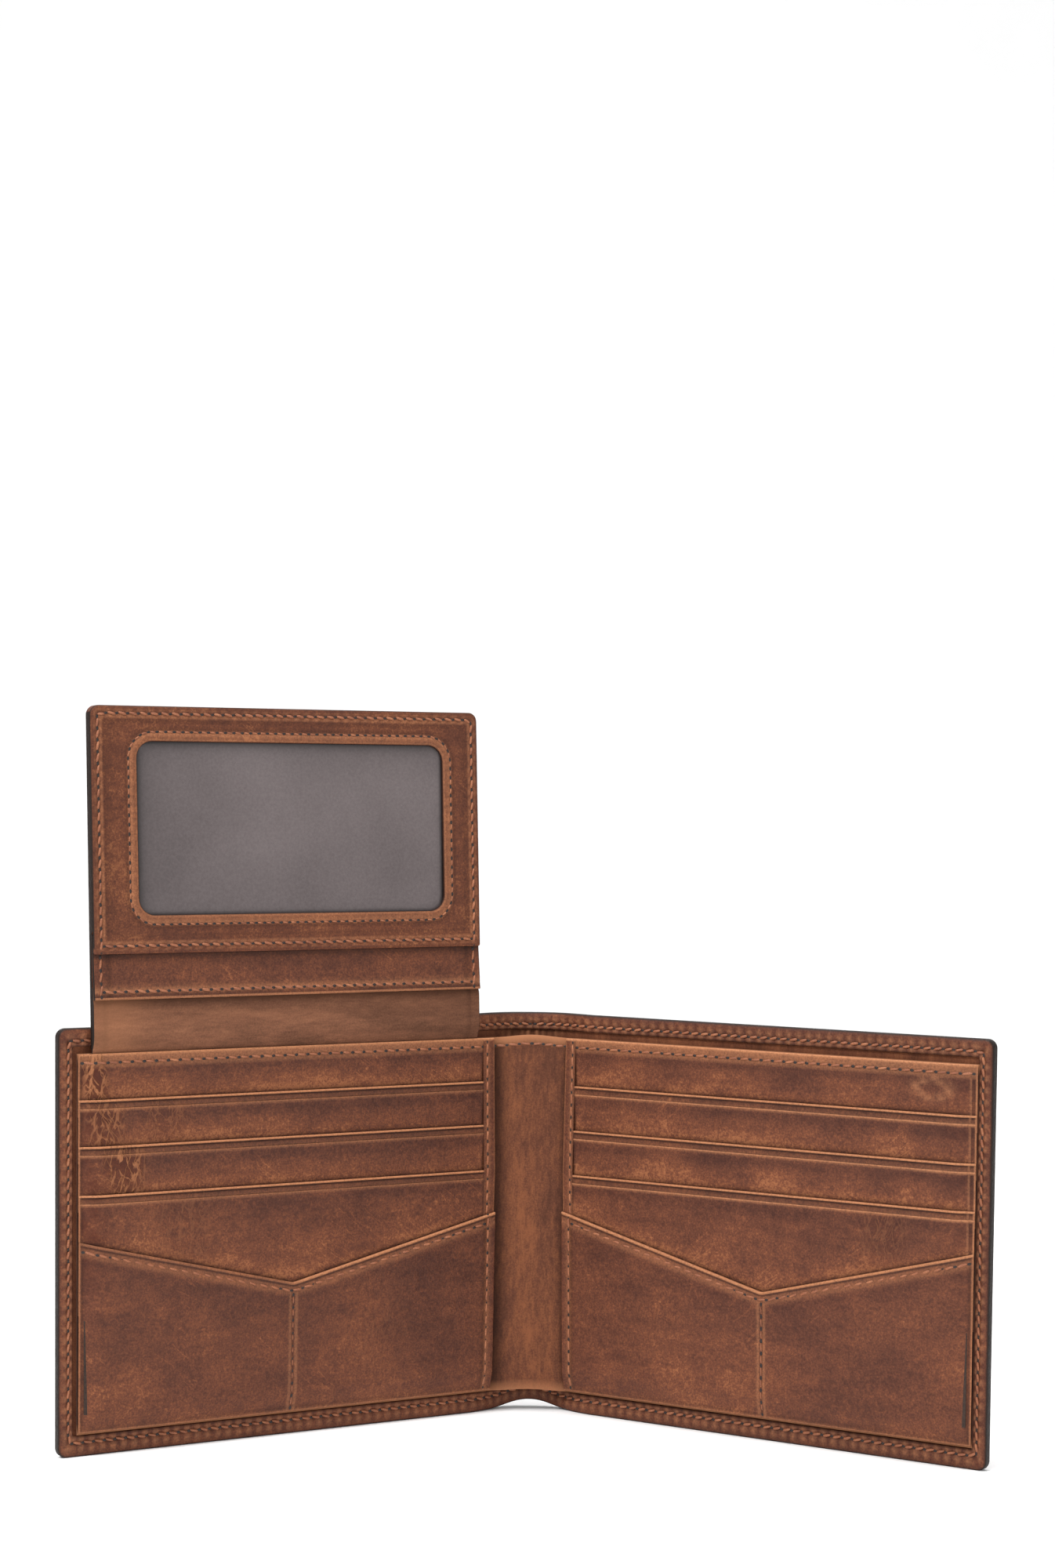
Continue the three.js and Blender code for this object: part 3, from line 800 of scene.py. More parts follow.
# The cover's section, from the middle of its inner face round the hem and the edge to its outer face:
# distance in from the outline, and level in half space.
COVER_SECTION = (
    (4.0, COVER_FRONT), (1.3, COVER_FRONT), (0.95, -0.75), (0.9, -0.5), (1.2, HEM_BACK), (2.9, HEM_BACK),
    (3.08, -0.2), (3.1, -0.08), (3.05, 0.06), (2.9, 0.14), (2.65, 0.17), (2.45, 0.12), (2.28, 0.03),
    (2.1, -0.02), (1.92, 0.04), (1.65, 0.15), (1.3, 0.22), (0.8, 0.17), (0.45, 0.08), (0.2, -0.04),
    (0.06, -0.22), (0.0, -0.5), (0.0, -1.2), (0.0, -1.8), (0.08, -2.08), (0.25, -2.23), (0.5, -2.29),
    (1.2, -2.3), (1.5, -2.27), (1.7, -2.22), (1.9, -2.27), (2.2, -2.3), (3.0, -2.3), (4.0, COVER_BACK),
)
COVER_INSET = 4.0
PATH_STEP = HEM_PITCH / 4
ARC_POINTS = 7


def cover_half(side):
    """Half of the one-piece cover, from the middle of the spine, with its edge turned in as a hem."""
    end = cover_track.at(HALF_WIDTH[side])
    along = lines(0, end - COVER_INSET, PATH_STEP)
    upright = lines(COVER_INSET + FOOT_HEM, HEIGHT - COVER_INSET - TOP_HEM, PATH_STEP)

    def ring(inset):
        radius = 0 if inset >= COVER_INSET else max(CORNER_RADIUS - inset, 0.5)
        return hem_path(end, inset, radius, along, upright, ARC_POINTS)

    puff = np.cos(math.tau * run_length(ring(HEM_SEAM)) / HEM_PITCH)
    levels, marks = [], []
    for inset, level in COVER_SECTION:
        in_front = 1.0 if level > HEM_BACK - 0.05 else 0.0
        on_bead = in_front * (peak(inset - 1.3, 0.5) + 0.9 * peak(inset - 2.6, 0.4))
        on_seam = in_front * peak(inset - HEM_SEAM, 0.3)
        drop = -0.1 * puff * on_bead if inset > 0.1 else 0
        levels.append(level + drop - 0.08 * (1 + puff) * on_seam - COVER_MIDDLE)
        painted = 1.0 if inset < 0.12 else (0.65 if inset < 0.3 else 0.0)
        # Painted shade in the seam's groove and along the hem's inner edge, and painted highlight on the
        # bead's puffs.
        shade = 0.4 * on_seam * (1 + 0.6 * puff) + in_front * (0.5 if inset > 2.8 else 0.0)
        marks.append(np.clip(stacked(on_bead * (0.18 - 0.24 * puff), shade, painted), 0, 1))
    path = np.stack([ring(inset) for inset, _ in COVER_SECTION])
    level = np.stack(levels)
    sections, count = level.shape
    place = cover_track.place(side)
    verts = [place(path[..., 0], level, path[..., 1]).reshape(-1, 3)]
    skins = [stacked(path[..., 0], level, path[..., 1]).reshape(-1, 3)]
    light_shade_paint_parts = [np.stack(marks).reshape(-1, 3)]
    quads = grid_quads(sections, count).tolist()

    def face_grid(level, seed, flip):
        """The flat middle of one face, which meets the innermost ring."""
        s, z = np.meshgrid(along, upright)
        z = raised(s, z)
        swell = wave(s, z, seed, 45, 0.08)
        rim = np.minimum(np.minimum(end - s, z), HEIGHT - z) - COVER_INSET
        swell = swell * np.clip(rim / 6, 0, 1)
        first = sum(len(v) for v in verts)
        verts.append(place(s, level - COVER_MIDDLE + swell, z).reshape(-1, 3))
        skins.append(stacked(s, level + 0 * s, z).reshape(-1, 3))
        light_shade_paint_parts.append(np.zeros((s.size, 3)))
        made = grid_quads(len(upright), len(along), first)
        quads.extend((made[:, ::-1] if flip else made).tolist())
        return first

    inner_first = face_grid(COVER_FRONT, 40, True)
    outer_first = face_grid(COVER_BACK, 73, False)
    columns = len(along)
    for j in range(len(upright) - 1):
        a, b = j * columns, (j + 1) * columns
        quads.append([inner_first + a, inner_first + b, outer_first + b, outer_first + a])
    quads.append([k * count for k in range(sections)])
    quads.append([k * count + count - 1 for k in range(sections)][::-1])
    skin = np.concatenate(skins)
    tint = np.zeros_like(skin)
    tint[:, 1] = 0.25
    tint[:, 2] = (-0.16 if side == "right" else 0.0) * smooth(skin[:, 0] / 40)
    piece = finish_mesh(
        f"cover_leather_{side}", np.concatenate(verts), quads, skin * [1 if side == "left" else -1, 1, 1],
        np.concatenate(light_shade_paint_parts), HEM_LOOK, 50, tint,
    )
    weld(piece)
    settle(piece, "leather", replaces=[f"cover_{side}", "cover_spine"], bends=side)


def lining_half(side):
    """Half of the note compartment's lining, rippled behind the top of the spine."""
    inset = 1.0
    s = lines(0, cover_track.at(HALF_WIDTH[side]) - inset, 1.2, np.arange(0, 16, 0.25))
    z = lines(inset, HEIGHT - inset, 2.2, np.arange(HEIGHT - 12, HEIGHT - 1, 0.7))
    s, z = np.meshgrid(s, z)
    x = cover_track.across(s)
    z = z + notch(x) * (1 - z / HEIGHT)
    middle = np.clip(1 - x / 10, 0, 1)
    below_hem = np.clip((HEIGHT - 3.0 - z) / 1.5, 0, 1) * np.clip(1 - (HEIGHT - z) / 30, 0, 1)
    ripple = 0.22 * middle * below_hem * (1 + np.sin(math.tau * x / 1.55 + 0.12 * z))
    ripple = ripple * (0.6 + 0.4 * np.sin(x * 1.3))
    front = LINING_FRONT - COVER_MIDDLE + ripple
    back = LINING_BACK - COVER_MIDDLE
    # Painted shade in the ripples' troughs and behind the spine, and painted highlight on their crests.
    dark = np.clip(0.5 - ripple * 1.4, 0, 1) * middle
    piece = shell(
        f"note_lining_leather_{side}", cover_track.place(side), s, z, front, back, LINING_LOOK,
        light=ripple * 1.9, dark=0.8 * dark, seed=3, mirror=1 if side == "left" else -1,
    )
    settle(piece, "note_lining", replaces=[f"note_lining_{side}", "note_lining_spine"], bends=side)


def hem_seam(side):
    """The seam through the hem, from the spine along the foot, up the side and back along the top."""
    end = cover_track.at(HALF_WIDTH[side])
    radius = 0.6
    along = np.linspace(0.6, end - HEM_SEAM - radius, 60)
    route = hem_path(end, HEM_SEAM, radius, along, np.empty(0), 5)
    place = cover_track.place(side)
    seam(
        f"hem_stitches_{side}", place, flat(-COVER_MIDDLE), route, HEM_PITCH, slant=0.2, radius=0.32,
        fill=0.84, lift=0.04, seed=5, replaces=[f"hem_seam_{side}"], bends=side,
    )
    seam(
        f"cover_outer_stitches_{side}", lambda s, level, z: place(s, -level, z),
        flat(COVER_MIDDLE - COVER_BACK - 0.1), route, HEM_PITCH, slant=0.12, radius=0.22, fill=0.8,
        lift=0.03, seed=7, outside=True, bends=side,
    )


# ---------------------------------------------------------------- divider and card stacks

def divider_half(side):
    """Half of the note divider, whose plain middle shows between the stacks."""
    place = divider_track.place(side)
    edge = divider_track.at(STACK_OUTER)
    s = lines(0, edge, 2.5, np.arange(0, 13, 0.45), edge - np.array(EDGE_MARKS))
    share = lines(0, 1, 0.03, np.array(EDGE_MARKS) / 80, 1 - np.array(EDGE_MARKS) / 80)
    s, share = np.meshgrid(s, share)
    x = divider_track.across(s)
    arch = np.cos(math.pi / 2 * np.clip(x / STRIP_HALF, 0, 1)) ** 2
    foot = STRIP_FOOT - (STRIP_FOOT - DIVIDER_FOOT) * np.clip((x - STRIP_HALF) / 1, 0, 1) + 0.35 * arch
    top = DIVIDER_TOP + STRIP_CROWN * arch
    z = foot + share * (top - foot)
    rim = np.minimum(top - z, z - foot)
    seam_z = top - TOP_SEAM
    front = DIVIDER_FRONT / 2 + np.interp(rim, (0, 0.05, 0.13, 0.26, 0.4), (-0.25, -0.12, -0.03, 0.03, 0))
    front = front + pinch(z - seam_z, s, STACK_PITCH, 0.08) + wave(s, z, 9, 22, 0.1)
    # Painted highlight along the strip's top edge and its foot; side_shade is painted shadow from the stacks'
    # inner edges, and painted shade under the top seam.
    light = np.interp(top - z, (0, 0.1, 0.35, 0.7, 2.5), (1, 1, 0.55, 0.35, 0))
    light = np.maximum(light, np.interp(z - foot, (0, 0.1, 0.35, 0.7), (0.7, 0.6, 0.2, 0)))
    if side == "left":
        side_shade = np.interp(x, (0, 4.0, 5.6, 7.2, 9.0), (0.0, 0.03, 0.25, 0.62, 0.9))
    else:
        side_shade = np.interp(x, (0, 6.5, 7.6, 8.6), (0.0, 0.05, 0.5, 0.9))
    side_shade = np.maximum(side_shade, 0.3 * peak(top - z - TOP_SEAM - 0.2, 0.5))
    piece = shell(
        f"note_divider_leather_{side}", place, s, z, front, -DIVIDER_FRONT / 2, SUEDE_LOOK,
        light=light, dark=side_shade, seed=6, mirror=1 if side == "left" else -1,
    )
    settle(piece, "leather", replaces=[f"note_divider_{side}", "note_divider_spine"], bends=side)
    run = np.linspace(0.05, divider_track.at(STACK_INNER[side] - 0.8), 12)
    arch = np.cos(math.pi / 2 * np.clip(divider_track.across(run) / STRIP_HALF, 0, 1)) ** 2
    route = np.stack([run, DIVIDER_TOP - TOP_SEAM + STRIP_CROWN * arch], 1)
    seam(
        f"spine_top_stitches_{side}", place, flat(DIVIDER_FRONT / 2 - 0.05), route, STACK_PITCH, seed=8,
        replaces=["divider_top_seam_spine"], bends=side,
    )


# Places where a strip is wrinkled by use, and how wide: side, strip, middle in u, half width, strength.
WRINKLES = (
    ("left", 0, 94.0, 2.6, 1.0), ("left", 1, 92.6, 3.8, 0.75), ("left", 2, 89.6, 4.2, 1.0),
    ("left", 1, 79.5, 4.5, 0.35), ("left", 3, 78.0, 7.0, 0.2), ("right", 3, 80.0, 6.0, 0.22),
)


def strip_wear(side, index, u, z):
    """How wrinkled a slot strip is, and how red, from place to place."""
    wrinkled = 0 * u
    for where, strip, middle, width, strength in WRINKLES:
        if (where, strip) == (side, index):
            wrinkled = wrinkled + strength * np.exp(-np.abs((u - middle - 0.1 * (z - 70)) / width) ** 4)
    end_red = smooth((u - 90.5) / 5.0) * (0.9 if side == "left" else 0.25)
    return wrinkled, end_red


def rubbed_ring(side, index, u, z):
    """A pale, worn oval near the outer end of the right half's top strip."""
    if (side, index) != ("right", 0):
        return 0 * u
    away = np.hypot((u - 88.5) / 4.6, (z - 78.0) / 2.2)
    return 0.55 * peak(away - 0.85, 0.28) * (0.6 + 0.4 * np.sin(u * 1.9 + z * 2.3))


def slot_level(side, index):
    """The strip's slanting back level, as a function of height."""
    tops = SLOT_TOPS[side]
    lowest = tops[index + 1] if index < 3 else POCKET_NOTCH[side]
    foot = lowest - SLOT_OVERLAP
    base = SLOT_BACK + SLOT_STEP * index

    def level(z):
        return base + SLOT_RISE * (z - foot) / (tops[index] - foot)

    return level, foot


def slot_strip(side, index):
    """One card slot's leather strip."""
    first, left = index == 0, side == "left"
    top = SLOT_TOPS[side][index]
    inner = STACK_INNER[side] + (0 if first else 0.5)
    margin = STACK_INNER[side] + MARGIN[side]
    back_level, foot = slot_level(side, index)
    seam_marks = top - TOP_SEAM + np.array([-0.6, -0.3, -0.12, 0, 0.12, 0.3, 0.6]) if first else []
    z = lines(foot, top, 0.8, top - np.array(EDGE_D), top - np.array(EDGE_MARKS), seam_marks)
    u = lines(
        inner, STACK_OUTER, 0.55, from_edge(inner, STACK_OUTER, *EDGE_MARKS),
        margin + np.array([-0.3, -0.1, 0.1, 0.3, 0.5, 0.8]), STACK_OUTER - np.array([0.8, 1.0, 1.2, 1.5]),
    )
    u, z = np.meshgrid(u, z)
    down = top - z
    outer = STACK_OUTER - u
    end_fade = np.clip((u - margin + 0.2) / 0.5, 0, 1)
    fullness = wave(u, z, 10 + index + (7 if left else 0), 26, 0.09) * np.clip(down / 3, 0, 1)
    # Painted highlight along the top edge and the crease's lip, and painted shade in the groove, the crease
    # and under the top seam.
    if first:
        edge_h = np.interp(down, (0, 0.05, 0.13, 0.26, 0.45, 0.9), (-0.28, -0.13, -0.02, 0.05, 0.02, 0.0))
        edge_h = edge_h + pinch(down - TOP_SEAM, u, STACK_PITCH, 0.1)
        light = np.interp(down, (0, 0.1, 0.35, 0.6, 1.4, 2.5, 3.2), (1, 1, 0.9, 0.42, 0.36, 0.3, 0))
        dark = 0.25 * peak(down - TOP_SEAM, 0.35)
    else:
        edge_h = np.interp(down, EDGE_D, EDGE_H) * (0.3 + 0.7 * end_fade)
        edge_h = edge_h - 0.28 * (1 - end_fade) * (down < 0.04)
        light = np.interp(down, EDGE_D, EDGE_LIGHT) * end_fade
        light = light + (0 if left else 0.5 * peak(down - CREASE - 0.15, 0.14))
        light = light * (1 + 0.5 * smooth((u - 75) / 20))
        dark = np.interp(down, EDGE_D, EDGE_DARK) * end_fade
    side_h = np.minimum(np.interp(outer, SIDE_D, SIDE_H), np.interp(u - inner, RIM_D, RIM_H))
    front = back_level(z) + LEATHER + edge_h + side_h + fullness
    # On the right half, a painted highlight line and a painted shade line near the outer end.
    sharper = 0 if left else 0.5
    light = strongest(light, np.interp(outer, SIDE_D, SIDE_LIGHT), sharper * peak(outer - 1.35, 0.18))
    below_top = SLOT_TOPS[side][index + 1] if index < 3 else pocket_edge(side, u)
    above_next = z - below_top
    # Painted contact shadow just above the next slot's edge, and painted shade where the margin lies over the
    # strip.
    contact_shadow = 0.85 * fade(above_next, 0.4) * smooth((u - margin + 0.5) / 1.0)
    dark = strongest(
        dark, np.interp(outer, SIDE_D, SIDE_DARK), sharper * peak(outer - 1.0, 0.2),
        0.55 * peak(u - margin, 0.4), contact_shadow,
    )
    paler = 0.24 * fade(above_next - 0.8, 2.2) - 0.2 * peak(down - 3.4, 1.5)
    if left:
        middle_shade = 0.08 if index in (1, 2) else 0.0
        paler = paler + (0.1 if first else 0.03) + 0.05 * peak(u - 80, 9) - middle_shade * peak(u - 20, 14)
    else:
        paler = paler + 0.12 * np.exp(-np.abs(u - 12) / 25) + wave(u, 1.6 * z, 50 + index, 20, 0.16)
    light = np.clip(light + rubbed_ring(side, index, u, z), 0, 1)
    piece = shell(
        f"slot_{index + 1}_leather_{side}", stack_place(side), u, z, front, back_level(z), LEATHER_LOOK,
        light=light, dark=dark, seed=index * 3 + (1 if left else 40),
        tint=(*strip_wear(side, index, u, z), paler),
    )
    settle(piece, "leather", f"{side}_half", [f"card_slot_{index + 1}_{side}"])


def margin_level(z):
    """Front of the margin that the inner ends of a stack are sewn under."""
    return np.interp(z, [40, 46.5, 54.3, DIVIDER_TOP], [2.35, 2.6, 2.87, 2.1])


def stack_margin(side):
    """The upright margin beside the spine, which covers the inner ends of the slot strips."""
    inner = STACK_INNER[side]
    outer = inner + MARGIN[side]
    foot, top = 40.0, DIVIDER_TOP - 0.05
    u, z = np.meshgrid(
        lines(inner, outer, 0.3, from_edge(inner, outer, *EDGE_MARKS)),
        lines(foot, top, 0.6, from_edge(foot, top, *EDGE_MARKS)),
    )
    from_seam = u - INNER_SEAM[side]
    rim = np.minimum(u - inner, outer - u)
    front = margin_level(z) + np.interp(rim, RIM_D, (-0.22, -0.1, -0.02, 0))
    front = front + pinch(from_seam, z, STACK_PITCH, 0.14, 0.5)
    front = front + np.interp(top - z, RIM_D, (-0.2, -0.08, 0, 0))
    # Painted highlight by the seam, on the inner edge and along the top; painted shade along the outer edge.
    light = strongest(
        0.3 * peak(from_seam, 0.6), 0.5 * peak(u - inner, 0.3),
        np.interp(top - z, (0, 0.3, 0.6), (1, 0.9, 0)),
    )
    piece = shell(
        f"stack_margin_leather_{side}", stack_place(side), u, z, front, margin_level(z) - 0.35,
        LEATHER_LOOK, light=light, dark=0.35 * peak(u - outer, 0.3), seed=70, tint=(0, 0.25, 0.05),
    )
    settle(piece, "leather", f"{side}_half")


def pocket_edge(side, u):
    """Height of the pocket's V-shaped top edge."""
    apex = POCKET_NOTCH[side]
    away = np.sqrt((u - POCKET_MIDDLE) ** 2 + 0.15) / POCKET_REACH
    return apex + (POCKET_TOP - apex) * away


# Height of the V's lowest point.
POCKET_NOTCH_EDGE = {side: pocket_edge(side, POCKET_MIDDLE) for side in POCKET_NOTCH}


def pocket_front(z):
    """The pocket's front level before its edges are shaped."""
    return POCKET_BACK + POCKET_RISE * (z - STACK_FOOT) / (POCKET_TOP - STACK_FOOT) + LEATHER


def v_pocket(side):
    """The large pocket at the foot of a stack."""
    inner, inner_seam, left = STACK_INNER[side], INNER_SEAM[side], side == "left"
    u = lines(
        inner, STACK_OUTER, 0.55, from_edge(inner, STACK_OUTER, *EDGE_MARKS),
        POCKET_MIDDLE + np.array([-1.2, -0.8, -0.5, -0.3, -0.12, 0, 0.12, 0.3, 0.5, 0.8, 1.2]),
        inner_seam + np.array([-0.5, -0.25, 0, 0.25, 0.5, 0.9]),
    )
    near = EDGE_MARKS + (0.9, 1.2, 1.5, 1.65, 1.8, 1.95, 2.1, 2.5, 3.0, 3.6)
    foot_marks = 1 - np.array([0.0015, 0.004, 0.008, 0.013])
    shares = np.unique(np.concatenate([np.linspace(0, 1, 36)[1:], foot_marks]))
    edge = pocket_edge(side, u)
    start = edge - near[-1]
    z = np.stack([edge - d for d in near] + [start + (STACK_FOOT - start) * share for share in shares])
    u = np.broadcast_to(u, z.shape)
    lean = math.cos(math.atan((POCKET_TOP - POCKET_NOTCH[side]) / POCKET_REACH))
    down = (pocket_edge(side, u) - z) * lean
    outer = STACK_OUTER - u
    from_foot = z - STACK_FOOT
    centre = u - POCKET_MIDDLE
    from_seam = u - inner_seam
    below = np.clip((down - 1.2) / 1.0, 0, 1)
    edge_h = np.interp(down, (0, 0.05, 0.13, 0.3, 0.55, 0.9, 1.3), (-0.3, -0.12, 0.02, 0.1, 0.05, 0.0, 0.02))
    round_h = np.minimum(np.interp(outer, SIDE_D, SIDE_H), np.interp(from_foot, SIDE_D, SIDE_H))
    round_h = np.minimum(round_h, np.interp(u - inner, RIM_D, RIM_H))
    sewn = pinch(down - POCKET_SEAM, u, STACK_PITCH, 0.12, 0.5)
    sewn = sewn + below * pinch(centre, z, STACK_PITCH, 0.22, 0.45)
    sewn = sewn + pinch(from_seam, z, STACK_PITCH, 0.16, 0.6)
    panel = np.clip(np.abs(centre) / POCKET_REACH, 0, 1)
    crown = 0.22 * below * np.sin(math.pi * panel) * np.clip(from_foot / 6, 0, 1)
    fullness = wave(u, z, 31 if left else 33, 30, 0.12) * np.clip(down / 4, 0, 1)
    front = pocket_front(z) + edge_h + round_h + sewn + crown + fullness
    # Painted highlight along the V's edge (fainter on the left pocket's left arm), on the sides and foot and
    # by the seams; painted shade just below the edge, along the centre seam, on the sides and foot and by the
    # margin.
    bright_edge = 0.35 + 0.65 * smooth((POCKET_MIDDLE + 4 - u) / 8) if left else 1.0
    light = np.interp(down, (0, 0.1, 0.4, 0.62), (0.8, 1, 0.9, 0)) * bright_edge
    light = strongest(
        light + np.interp(down, (0.62, 0.9, 1.0, 2.3, 3.2), (0, 0.05, 0.16, 0.24, 0)),
        0.8 * np.interp(outer, SIDE_D, SIDE_LIGHT), 0.7 * np.interp(from_foot, SIDE_D, SIDE_LIGHT),
        0.35 * peak(np.abs(centre) - 0.7, 0.35) * below, 0.28 * peak(from_seam, 0.6),
    )
    dark = strongest(
        0.8 * peak(down - 0.74, 0.2), 0.35 * below * peak(centre, 0.3), np.interp(outer, SIDE_D, SIDE_DARK),
        0.8 * np.interp(from_foot, SIDE_D, SIDE_DARK), 0.35 * peak(u - inner - MARGIN[side], 0.5),
    )
    wrinkled = (0.14 if left else 0.06) * peak(u - (30 if left else 24), 7) * peak(z - 20, 9)
    red = (0.7 if left else 0.14) * smooth((u - 90) / 7) * fade(down - 2, 8)
    paler = 0.04 + 0.1 * fade(from_foot, 4) - 0.13 * smooth((down - 2) / 2) * fade(down - 4, 7)
    paler = paler - 0.1 * peak(u - 14, 8) + wave(u, z, 77, 34, 0.07)
    if not left:
        paler = paler + 0.05 - 0.08 * smooth((u - 45) / 20)
    piece = shell(
        f"v_pocket_leather_{side}", stack_place(side), u, z, front, pocket_front(z) - LEATHER, LEATHER_LOOK,
        light=light, dark=dark, seed=23 if left else 29, tint=(wrinkled, red, paler),
    )
    settle(piece, "leather", f"{side}_half", [f"v_pocket_{side}"])


def stack_seams(side):
    """The stitches through a stack: under its top edge, beside the spine, and round the pocket."""
    inner, outer = INNER_SEAM[side], STACK_OUTER - 0.8
    top, foot = DIVIDER_TOP - TOP_SEAM, STACK_FOOT + 0.8
    top_level, _ = slot_level(side, 0)

    def inner_level(u, z):
        return np.where(z < POCKET_TOP - 0.2, pocket_front(z), margin_level(z)) - 0.1

    drop = POCKET_SEAM * 1.03
    across = np.concatenate(
        [np.linspace(inner + 0.9, POCKET_MIDDLE, 30), np.linspace(POCKET_MIDDLE, outer, 30)[1:]]
    )
    vee = np.stack([across, pocket_edge(side, across) - drop], 1)
    low = POCKET_NOTCH_EDGE[side] - drop - 0.8
    shallow = dict(slant=0.05, radius=0.16, lift=-0.02)
    rows = (
        ("divider_top_stitches", lambda u, z: top_level(z) + LEATHER - 0.06,
         [(inner + 0.9, top), (outer, top)], "divider_top_seam", dict(seed=11)),
        ("stack_inner_stitches", inner_level, [(inner, foot), (inner, DIVIDER_TOP - 0.9)],
         "stack_inner_seam", dict(slant=0.08, seed=12)),
        ("v_pocket_stitches", lambda u, z: pocket_front(z) - 0.06, vee, "v_pocket_seam", dict(seed=13)),
        ("v_pocket_centre_stitches", lambda u, z: pocket_front(z) - 0.14,
         [(POCKET_MIDDLE, low), (POCKET_MIDDLE, foot)], None, dict(shallow, seed=14)),
    )
    for name, level, route, node, stitch in rows:
        seam(
            f"{name}_{side}", stack_place(side), level, route, STACK_PITCH, body=f"{side}_half",
            replaces=[f"{node}_{side}"] if node else (), **stitch,
        )


# ---------------------------------------------------------------- window flap

def flap_ring_shell(name, rings, seed):
    """A closed solid swept round a loop: each ring is its points in u and h, its level and its wear."""
    path = np.stack([ring[0] for ring in rings])
    level = np.stack([np.broadcast_to(ring[1], len(path[0])) for ring in rings])
    marks = np.stack([np.broadcast_to(ring[2], (len(path[0]), 3)) for ring in rings])
    points = flap_place(path[..., 0], level, path[..., 1])
    rows, count = level.shape
    index = np.arange(rows * count).reshape(rows, count)
    ahead = np.roll(index, -1, axis=1)
    below = np.roll(index, -1, axis=0)
    corner = np.roll(ahead, -1, axis=0)
    faces = np.stack([index, ahead, corner, below], -1).reshape(-1, 4)
    skin = stacked(path[..., 0], level, path[..., 1]).reshape(-1, 3) + SKIN_OFFSET * seed
    tint = np.tile([0.0, 0.15, 0.14], (len(skin), 1))
    return finish_mesh(name, points.reshape(-1, 3), faces, skin, marks.reshape(-1, 3), LEATHER_LOOK, 50, tint)


LOOP_WIDE = 150  # points along the foot and the top of a loop, and LOOP_TALL up each side
LOOP_TALL = 100


def rounded_loop(left, right, foot, top, foot_radius, top_radius):
    """Points round a rectangle with rounded corners, anticlockwise from the foot's left, and the same
    number of them for any size."""
    angles = np.linspace(0, math.pi / 2, 8)
    corners = (
        (left + foot_radius, foot + foot_radius, foot_radius, math.pi),
        (right - foot_radius, foot + foot_radius, foot_radius, 1.5 * math.pi),
        (right - top_radius, top - top_radius, top_radius, 0),
        (left + top_radius, top - top_radius, top_radius, 0.5 * math.pi),
    )
    bends = [
        np.stack([x + radius * np.cos(angles + start), z + radius * np.sin(angles + start)], 1)
        for x, z, radius, start in corners
    ]
    loop = []
    for k, count in enumerate((LOOP_WIDE, LOOP_TALL, LOOP_WIDE, LOOP_TALL)):
        share = np.linspace(0, 1, count + 2)[1:-1, None]
        start, end = bends[k][-1], bends[(k + 1) % 4][0]
        loop += [bends[k], start + (end - start) * share]
    return np.concatenate(loop)


def outer_loop(inset):
    """The window frame's outline, drawn in by an inset."""
    return rounded_loop(
        FLAP_INNER + inset, FLAP_OUTER - inset, FRAME_FOOT + inset, FLAP_TALL - inset, 0.4,
        max(FLAP_CORNER - inset, 0.4),
    )


def window_loop(margin):
    """The window's outline, with a margin round it."""
    w = WINDOW
    radius = w["radius"] + margin
    return rounded_loop(
        w["inner"] - margin, w["outer"] + margin, w["foot"] - margin, w["top"] + margin, radius, radius
    )


def frame_level(h):
    """The window frame's front level: it stands out furthest at its foot."""
    return -0.75 - 0.45 * (h - FRAME_FOOT) / (FLAP_TALL - FRAME_FOOT)


# The frame's front, from its outline inwards: inset, height, how dark and how light. The dark is painted
# shade in the grooves by the seams; the light is rubbing plus painted highlight on the ridges.
FRAME_OUTER = (
    (0, -0.3, 0, 0), (0.06, -0.14, 0, 0), (0.16, -0.04, 0, 0), (0.3, 0.02, 0.2, 0), (0.5, 0.06, 0.25, 0),
    (0.9, 0.1, 0.1, 0.12), (1.25, 0.02, 0.3, 0.1), (1.6, -0.06, 0.45, 0), (1.95, 0.02, 0.2, 0.2),
    (2.3, 0.08, 0.05, 0.3), (2.8, 0.03, 0.35, 0), (3.4, 0.0, 0.32, 0),
)
# And on to the window: margin round it, height, how dark and how light. The dark is painted shade by the
# seam and painted shadow at the window's edge; the light is rubbing plus painted highlight on the rim.
FRAME_INNER = (
    (3.3, 0, 0.16, 0), (2.9, 0.03, 0.3, 0), (2.5, 0.06, 0.42, 0), (2.25, 0.02, 0.2, 0.12),
    (2.0, -0.05, 0.4, 0.1), (1.75, 0.02, 0.05, 0.36), (1.5, 0.1, 0, 0.42), (1.1, 0.15, 0, 0.3),
    (0.7, 0.14, 0.05, 0.2), (0.4, 0.1, 0, 0.4), (0.2, 0.02, 0.3, 0.3), (0.08, -0.1, 0.9, 0),
    (0.0, -0.25, 1.0, 0),
)
FRAME_BACK = -0.5


